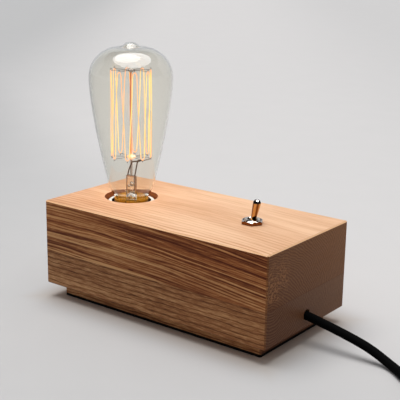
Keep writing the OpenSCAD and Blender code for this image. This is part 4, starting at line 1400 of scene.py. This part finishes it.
@dataclass
class Bulb:
    """The long bulb with its cage of glowing wires; lengths are in millimetres over its foot."""

    foot: Vector = field(default_factory=lambda: upright("bulb_glass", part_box("upper_board")[1].z))
    neck: tuple = ((11.2, -14.6), (11.2, -9.0), (11.25, -5.0))
    curves: tuple = (
        ((11.5, -2.0), (12.0, -0.9), (12.6, 0.4), 6),
        ((14.3, 2.2), (16.9, 6.0), (17.6, 9.0), 12),
        ((24.6, 37.0), (32.0, 73.9), (32.0, 93.5), 36),
        ((32.0, 107.5), (20.5, 116.9), (8.2, 116.5), 30),
        ((6.0, 116.5), (5.0, 120.4), (0.0, 120.4), 14),
    )
    wall: float = 1.1
    tip_wall: float = 1.2
    flare: tuple = ((0.0, 2.4), (1.6, 2.2), (2.9, 1.2), (3.4, -1.0))
    flare_in: tuple = ((3.7, -8.0), (6.0, -13.2), (10.6, -14.9), 12)
    flare_lip: tuple = (11.0, -14.8)
    flare_out: tuple = ((6.6, -12.4), (4.6, -8.0), (4.0, -1.6), 12)
    seal_low: float = -1.6
    seal_top: float = 16.9
    seal_r: float = 4.0
    seal_spread: float = 0.5
    seal_pinch: float = 2.2
    pinch_tall: float = 6.5
    edge_low: float = 16.2
    edge_tall: float = 0.75
    bubbles: tuple = (("seal_bubble", 0.9, 10.4, 2.0), ("seal_seed", -2.0, 8.4, 1.2))
    bubble_flat: float = 0.66
    rod_line: tuple = (
        (0.0, 16.95), (0.95, 17.0), (0.95, 30.2), (2.0, 30.6), (3.4, 31.3), (3.6, 32.0), (3.0, 32.8),
        (1.6, 33.3), (1.0, 34.0), (1.0, 97.6), (1.8, 98.1), (2.7, 98.6), (2.8, 99.3), (2.2, 100.0),
        (1.0, 100.4), (0.0, 100.5),
    )
    hooks: int = 8
    cage_r: float = 15.4
    cage_low: float = 32.0
    cage_high: float = 99.0
    top_turn: float = 7.0
    low_turn: float = 30.5
    spread: float = 6.0
    curl: float = 1.6
    slack: float = 3.4
    hook_wire: float = 0.17 * MM
    glow_wire: float = 0.35 * MM
    inner_wire: float = 0.22 * MM
    lead_wire: float = 0.5 * MM
    sealed: tuple = ((2.6, 0.0, -12.0), (3.2, 0.0, -2.0), (3.6, 0.0, 8.0), (3.6, 0.0, 17.2))
    right_bends: tuple = (
        (3.6, 0.0, 17.2), (4.9, -0.2, 22.0), (6.5, -0.3, 28.4), (7.6, -0.3, 30.0), (10.6, 1.4, 30.1),
    )
    left_bends: tuple = (
        (3.6, 0.0, 17.2), (0.7, -1.8, 22.0), (-2.7, -2.6, 27.8), (-4.0, -2.4, 29.0), (-7.0, 2.4, 29.0),
    )
    thread_pitch: float = 3.629
    thread_turns: int = 4
    thread_low: float = -19.8
    thread_phase: float = 28.6
    thread_deep: float = 0.53
    thread_r: float = 12.64
    thread_rows: int = 56
    cap_foot: tuple = ((8.0, -21.0), (10.9, -21.0))
    cap_rim: tuple = (
        (13.25, -3.4), (13.32, -2.8), (13.32, -0.9), (13.2, -0.65), (12.95, -0.6), (12.85, -0.9),
        (12.75, -1.6), (12.1, -2.4), (11.7, -5.2), (11.7, -19.6), (10.9, -20.6), (8.0, -20.6),
    )

    def at(self, r: float, degrees: float, height: float) -> Vector:
        """A point round the bulb's axis, in metres."""
        return self.foot + polar(r * MM, math.radians(degrees), height * MM)

    def lay(self, side: float, places: tuple) -> list[Vector]:
        """Points over the foot, in metres, with X mirrored where side is -1."""
        return [self.foot + Vector((x * side, y, z)) * MM for x, y, z in places]

    def level(self, wide: float, deep: float, height: float, power: float = 1.0) -> list[Vector]:
        """An oval ring at a height, in metres."""
        return self.lay(1.0, [(x, y, height) for x, y in oval(wide, deep, power)])

    def glass(self) -> None:
        """The blown envelope, a real wall thick."""
        outer = list(self.neck)
        for curve in self.curves:
            outer = bend(outer, *curve)
        inner = [(max(r, 0.0), z) for r, z in beside(outer, self.wall)[:-3]]
        inner.append((0.0, outer[-1][1] - self.tip_wall))
        shell = Shell()
        shell.lathe(outer + inner[::-1], 96, self.foot, closed=True)
        made = shell.piece("glass_envelope", Body.GLASS, "bulb_glass", GLASS, sharp=80)
        made.visible_shadow = False
        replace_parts(made, "bulb_glass")

    def stem(self) -> None:
        """The flare, the tube and the flattened seal that carries the wires."""
        line = bend(list(self.flare), *self.flare_in)
        line = bend([*line, self.flare_lip], *self.flare_out)
        rings = [self.level(r, r, z) for r, z in line]
        for t in (k / 28 for k in range(1, 29)):
            up = (self.seal_top - self.seal_low) * t
            flat = ease(min(1.0, up / self.pinch_tall))
            over = max(0.0, (self.seal_low + up - self.edge_low) / self.edge_tall)
            size = math.sqrt(max(0.0, 1 - over * over)) * 0.12 + 0.88
            wide, deep = self.seal_r + self.seal_spread * flat, self.seal_r - self.seal_pinch * flat
            rings.append(self.level(wide * size, deep * size, self.seal_low + up, 2 / (2 + 3 * flat)))
        rings.append(self.level(0.0, 0.0, self.seal_top))
        shell = Shell()
        shell.rings(rings)
        made = shell.piece("glass_stem", Body.CORE, "stem_glass", STEM_GLASS, sharp=60)
        made.visible_shadow = False
        for bubble in self.bubbles:
            self.bubble(*bubble)
        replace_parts(made, "bulb_stem")

    def bubble(self, name: str, x: float, z: float, r: float) -> None:
        """A flattened bubble in the seal.

        Args:
            name: its piece's name.
            x: how far it is from the axis.
            z: its height.
            r: its radius.
        """
        shell = Shell()
        shell.lathe(arc(r, 0.0, range(-90, 91, 15)), 24, Vector())
        place = Matrix.Translation(self.foot + Vector((x, 0.0, z)) * MM)
        shell.work.transform(place @ Matrix.Diagonal((1.0, self.bubble_flat, 1.0, 1.0)))
        made = shell.piece(name, Body.CORE, "stem_glass", STEM_GLASS, sharp=60, hollow=True)
        made.visible_shadow = False

    def rod(self) -> None:
        """The rod with its two beads."""
        shell = Shell()
        shell.lathe(self.rod_line, 24, self.foot)
        made = shell.piece("glass_rod", Body.CORE, "rod_glass", LIT_ROD, sharp=50)
        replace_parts(made, "centre_rod")

    def supports(self) -> None:
        """Fine wires from the beads out to the hooks, each with a curled end."""
        reach = self.cage_r
        line = ((2.2, 0.0), (reach * 0.5, 0.1), (reach * 0.93, 0.1))
        line += ((reach + 0.3, 0.55), (reach - 0.1, 1.0), (reach - 0.9, 0.7))
        for name, node, height, turn, lift in (
            ("upper_hooks", "top_supports", self.cage_high, self.top_turn, self.curl),
            ("lower_hooks", "bottom_supports", self.cage_low, self.low_turn, -self.curl),
        ):
            shell = Shell()
            for k in range(self.hooks):
                angle = 360 * k / self.hooks + turn
                shell.tube(smooth([self.at(r, angle, height + lift * up) for r, up in line], 4), self.hook_wire, 8)
            made = shell.piece(name, Body.CORE, "support_wire", SUPPORT_WIRE)
            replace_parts(made, node)

    def filament(self) -> None:
        """One wire hung up and down between the hooks, a little slack and uneven."""
        rng = random.Random(7)
        pitch, spread = 360 / self.hooks, self.spread
        stops = []
        for k in range(self.hooks):
            stops.append((self.low_turn - pitch * k, self.cage_low, self.slack))
            stops.append((self.top_turn - pitch * k, self.cage_high, -self.slack))
        stops.append((self.low_turn - 360, self.cage_low, self.slack))
        steps = [self.at(self.cage_r, self.low_turn - spread, self.cage_low)]
        for (turn, height, sag), (next_turn, next_height, _) in zip(stops, stops[1:]):
            if turn != self.low_turn:
                for share in (1.0, 0.8, 0.45, 0.0, -0.45, -0.8, -1.0):
                    steps.append(self.at(self.cage_r, turn + spread * share, height + sag * abs(share) ** 3))
            for share in (0.35, 0.68):
                r = self.cage_r + rng.uniform(-0.5, 0.4)
                away = turn - spread + (next_turn - turn + 2 * spread) * share + rng.uniform(-1.2, 1.2)
                steps.append(self.at(r, away, height + (next_height - height) * share))
        steps.append(self.at(self.cage_r, self.low_turn - 360 + spread, self.cage_low))
        shell = Shell()
        shell.tube(smooth(steps, 5), self.glow_wire, 8)
        made = shell.piece("filament_wire", Body.CORE, "filament_wire", FILAMENT)
        made.visible_shadow = False
        made.visible_diffuse = False
        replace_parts(made, "filament")

    def leads(self) -> None:
        """The two stout wires from the seal to the filament's ends, copper inside the glass."""
        shell = Shell()
        for side, bends in ((1.0, self.right_bends), (-1.0, self.left_bends)):
            turn = self.low_turn - self.spread * side
            stout = self.lay(side, bends)
            hook = [stout[-1], self.at(self.cage_r - 1.0, turn, 30.6), self.at(self.cage_r, turn, self.cage_low)]
            shell.tube(smooth(self.lay(side, self.sealed), 4), self.inner_wire, 8, 0)
            shell.tube(smooth(stout, 5), self.lead_wire, 10, 1)
            shell.tube(smooth(hook, 4), self.hook_wire, 8, 1)
        made = shell.piece("filament_leads", Body.CORE, "lead_wire", COPPER, LEAD_WIRE)
        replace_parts(made, "lead_wires")

    def cap_section(self, angle: float) -> Profile:
        """The cap's section, with the thread where it is at an angle.

        Args:
            angle: the angle round the axis, in radians.

        Returns:
            The section's radii and heights.
        """
        low, tall = self.thread_low, self.thread_pitch * self.thread_turns
        thread = []
        for z in (low + tall * k / self.thread_rows for k in range(self.thread_rows + 1)):
            fade = min(1.0, min(z - low, low + tall - z) / (self.thread_pitch / 3))
            wave = math.cos(angle - TURN * (z + self.thread_phase) / self.thread_pitch)
            thread.append((self.thread_r + self.thread_deep * (fade * wave - (1 - fade)), z))
        return [*self.cap_foot, *thread, *self.cap_rim]

    def cap(self) -> None:
        """The rolled brass cap."""
        shell = Shell()
        shell.turn(self.cap_section, 64, self.foot, closed=True)
        made = shell.piece("brass_cap", Body.CORE, "cap_brass", CAP_BRASS, sharp=40)
        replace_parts(made, "bulb_cap_shell")

    def build(self) -> None:
        """Makes the bulb."""
        self.glass()
        self.stem()
        self.rod()
        self.supports()
        self.filament()
        self.leads()
        self.cap()
        dress(VITRITE, "bulb_cap_insulator")
        dress(SOLDER, "bulb_cap_contact")


@dataclass
class Toggle:
    """The toggle switch; lengths are in millimetres over its seat on the block."""

    seat: Vector = field(default_factory=lambda: upright("switch_nut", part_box("switch_nut")[0].z))
    flats: float = 14.72
    nut_h: float = 2.8
    nut_slope: float = math.tan(math.radians(28))
    nut_ease: float = 0.25
    corner_ease: float = 0.12
    bore: float = 6.05
    bushing_r: float = 6.0
    bushing_bore: float = 3.8
    flange_r: float = 7.2
    thread_pitch: float = 0.75
    pivot_drop: float = 1.0
    ball: float = 3.4
    lever_tail: tuple = ((0.0, -12.0), (1.5, -12.0), (1.7, -11.8), (1.7, -3.0))
    lever_neck: tuple = ((2.0, 3.0), (2.0, 5.0))
    tip_r: float = 2.85
    tip_z: float = 17.0
    lean: float = math.radians(12)

    def nut_section(self, angle: float) -> Profile:
        """The nut's section at an angle, with its turned top.

        Args:
            angle: the angle round the axis, in radians.

        Returns:
            The section's radii and heights.
        """
        sixth, half, high = math.pi / 6, self.flats / 2, self.nut_h
        away = (angle + sixth) % (2 * sixth) - sixth
        edge = min(half / math.cos(sixth - abs(away)), half / math.cos(sixth) - self.corner_ease)
        crown = half - self.nut_ease
        shoulder = high - (edge - crown) * self.nut_slope
        outside = [(edge - self.nut_ease, 0.0), (edge, 0.3), (edge, shoulder), (crown, high)]
        return [(self.bore, 0.0), *outside, (self.bore + 0.5, high), (self.bore, high - 0.5)]

    def nut(self) -> None:
        """The hexagon nut."""
        shell = Shell()
        shell.turn(self.nut_section, 96, self.seat, closed=True)
        made = shell.piece("hex_nut", Body.BASE, "switch_chrome", NUT_CHROME, sharp=24)
        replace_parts(made, "switch_nut")

    def bushing(self) -> None:
        """The threaded bushing that the nut runs on."""
        foot, head = ((corner.z - self.seat.z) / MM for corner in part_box("switch_bushing"))
        outer, inner = self.bushing_r, self.bushing_bore
        line = [(inner, foot), (self.flange_r, foot), (self.flange_r, foot + 1.0), (outer - 0.3, foot + 1.0)]
        height = foot + 1.3
        while height < head - 0.8:
            line += [(outer, height), (outer - 0.35, height + self.thread_pitch / 2)]
            height += self.thread_pitch
        line += [(outer - 0.3, head - 0.35), (outer - 0.55, head), (inner + 0.5, head), (inner, head - 0.5)]
        shell = Shell()
        shell.lathe(line, 64, self.seat, closed=True)
        made = shell.piece("threaded_bushing", Body.BASE, "switch_chrome", CHROME, sharp=30)
        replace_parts(made, "switch_bushing")

    def lever(self) -> None:
        """The bat lever on its ball."""
        line = [*self.lever_tail, *arc(self.ball, 0.0, range(-58, 54, 8)), *self.lever_neck]
        line = bend(line, (2.1, 8.5), (2.62, 12.0), (2.82, 16.2), 14)
        line += [*arc(self.tip_r, self.tip_z, range(0, 90, 9)), (0.0, self.tip_z + self.tip_r)]
        shell = Shell()
        shell.lathe(line, 48, Vector())
        pivot = self.seat - Vector((0.0, 0.0, self.pivot_drop)) * MM
        shell.work.transform(Matrix.Translation(pivot) @ Matrix.Rotation(self.lean, 4, "Y"))
        made = shell.piece("bat_lever", Body.LEVER, "switch_chrome", LEVER_CHROME, sharp=50)
        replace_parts(made, "switch_lever")

    def build(self) -> None:
        """Makes what shows of the switch and dresses the rest."""
        self.nut()
        self.bushing()
        self.lever()
        dress(PHENOLIC, "switch_case")
        dress(STEEL, "switch_frame", "switch_lock_washer", "switch_pivot_pin")
        dress(BRASS, "switch_terminals", "switch_rocker")
        dress(NYLON, "switch_plunger")


@dataclass
class Wiring:
    """The clamp and the wires inside the block."""

    def build(self) -> None:
        """Dresses the clamp, the jacket's end and the wires."""
        dress(NYLON, "cord_clamp_base", "cord_clamp_cap")
        dress(STEEL, "clamp_screws")
        dress(JACKET, "cord_inner_end")
        dress(BROWN_WIRE, "wire_live", "wire_switched")
        dress(BLUE_WIRE, "wire_neutral")


def main() -> None:
    """Builds the studio and the lamp."""
    logging.basicConfig(level=logging.INFO, format="%(message)s")
    for part in (Studio(), Lead(), Block(), Holder(), Bulb(), Toggle(), Wiring()):
        log.info("building %s", type(part).__name__)
        part.build()


if __name__ == "__main__":
    main()
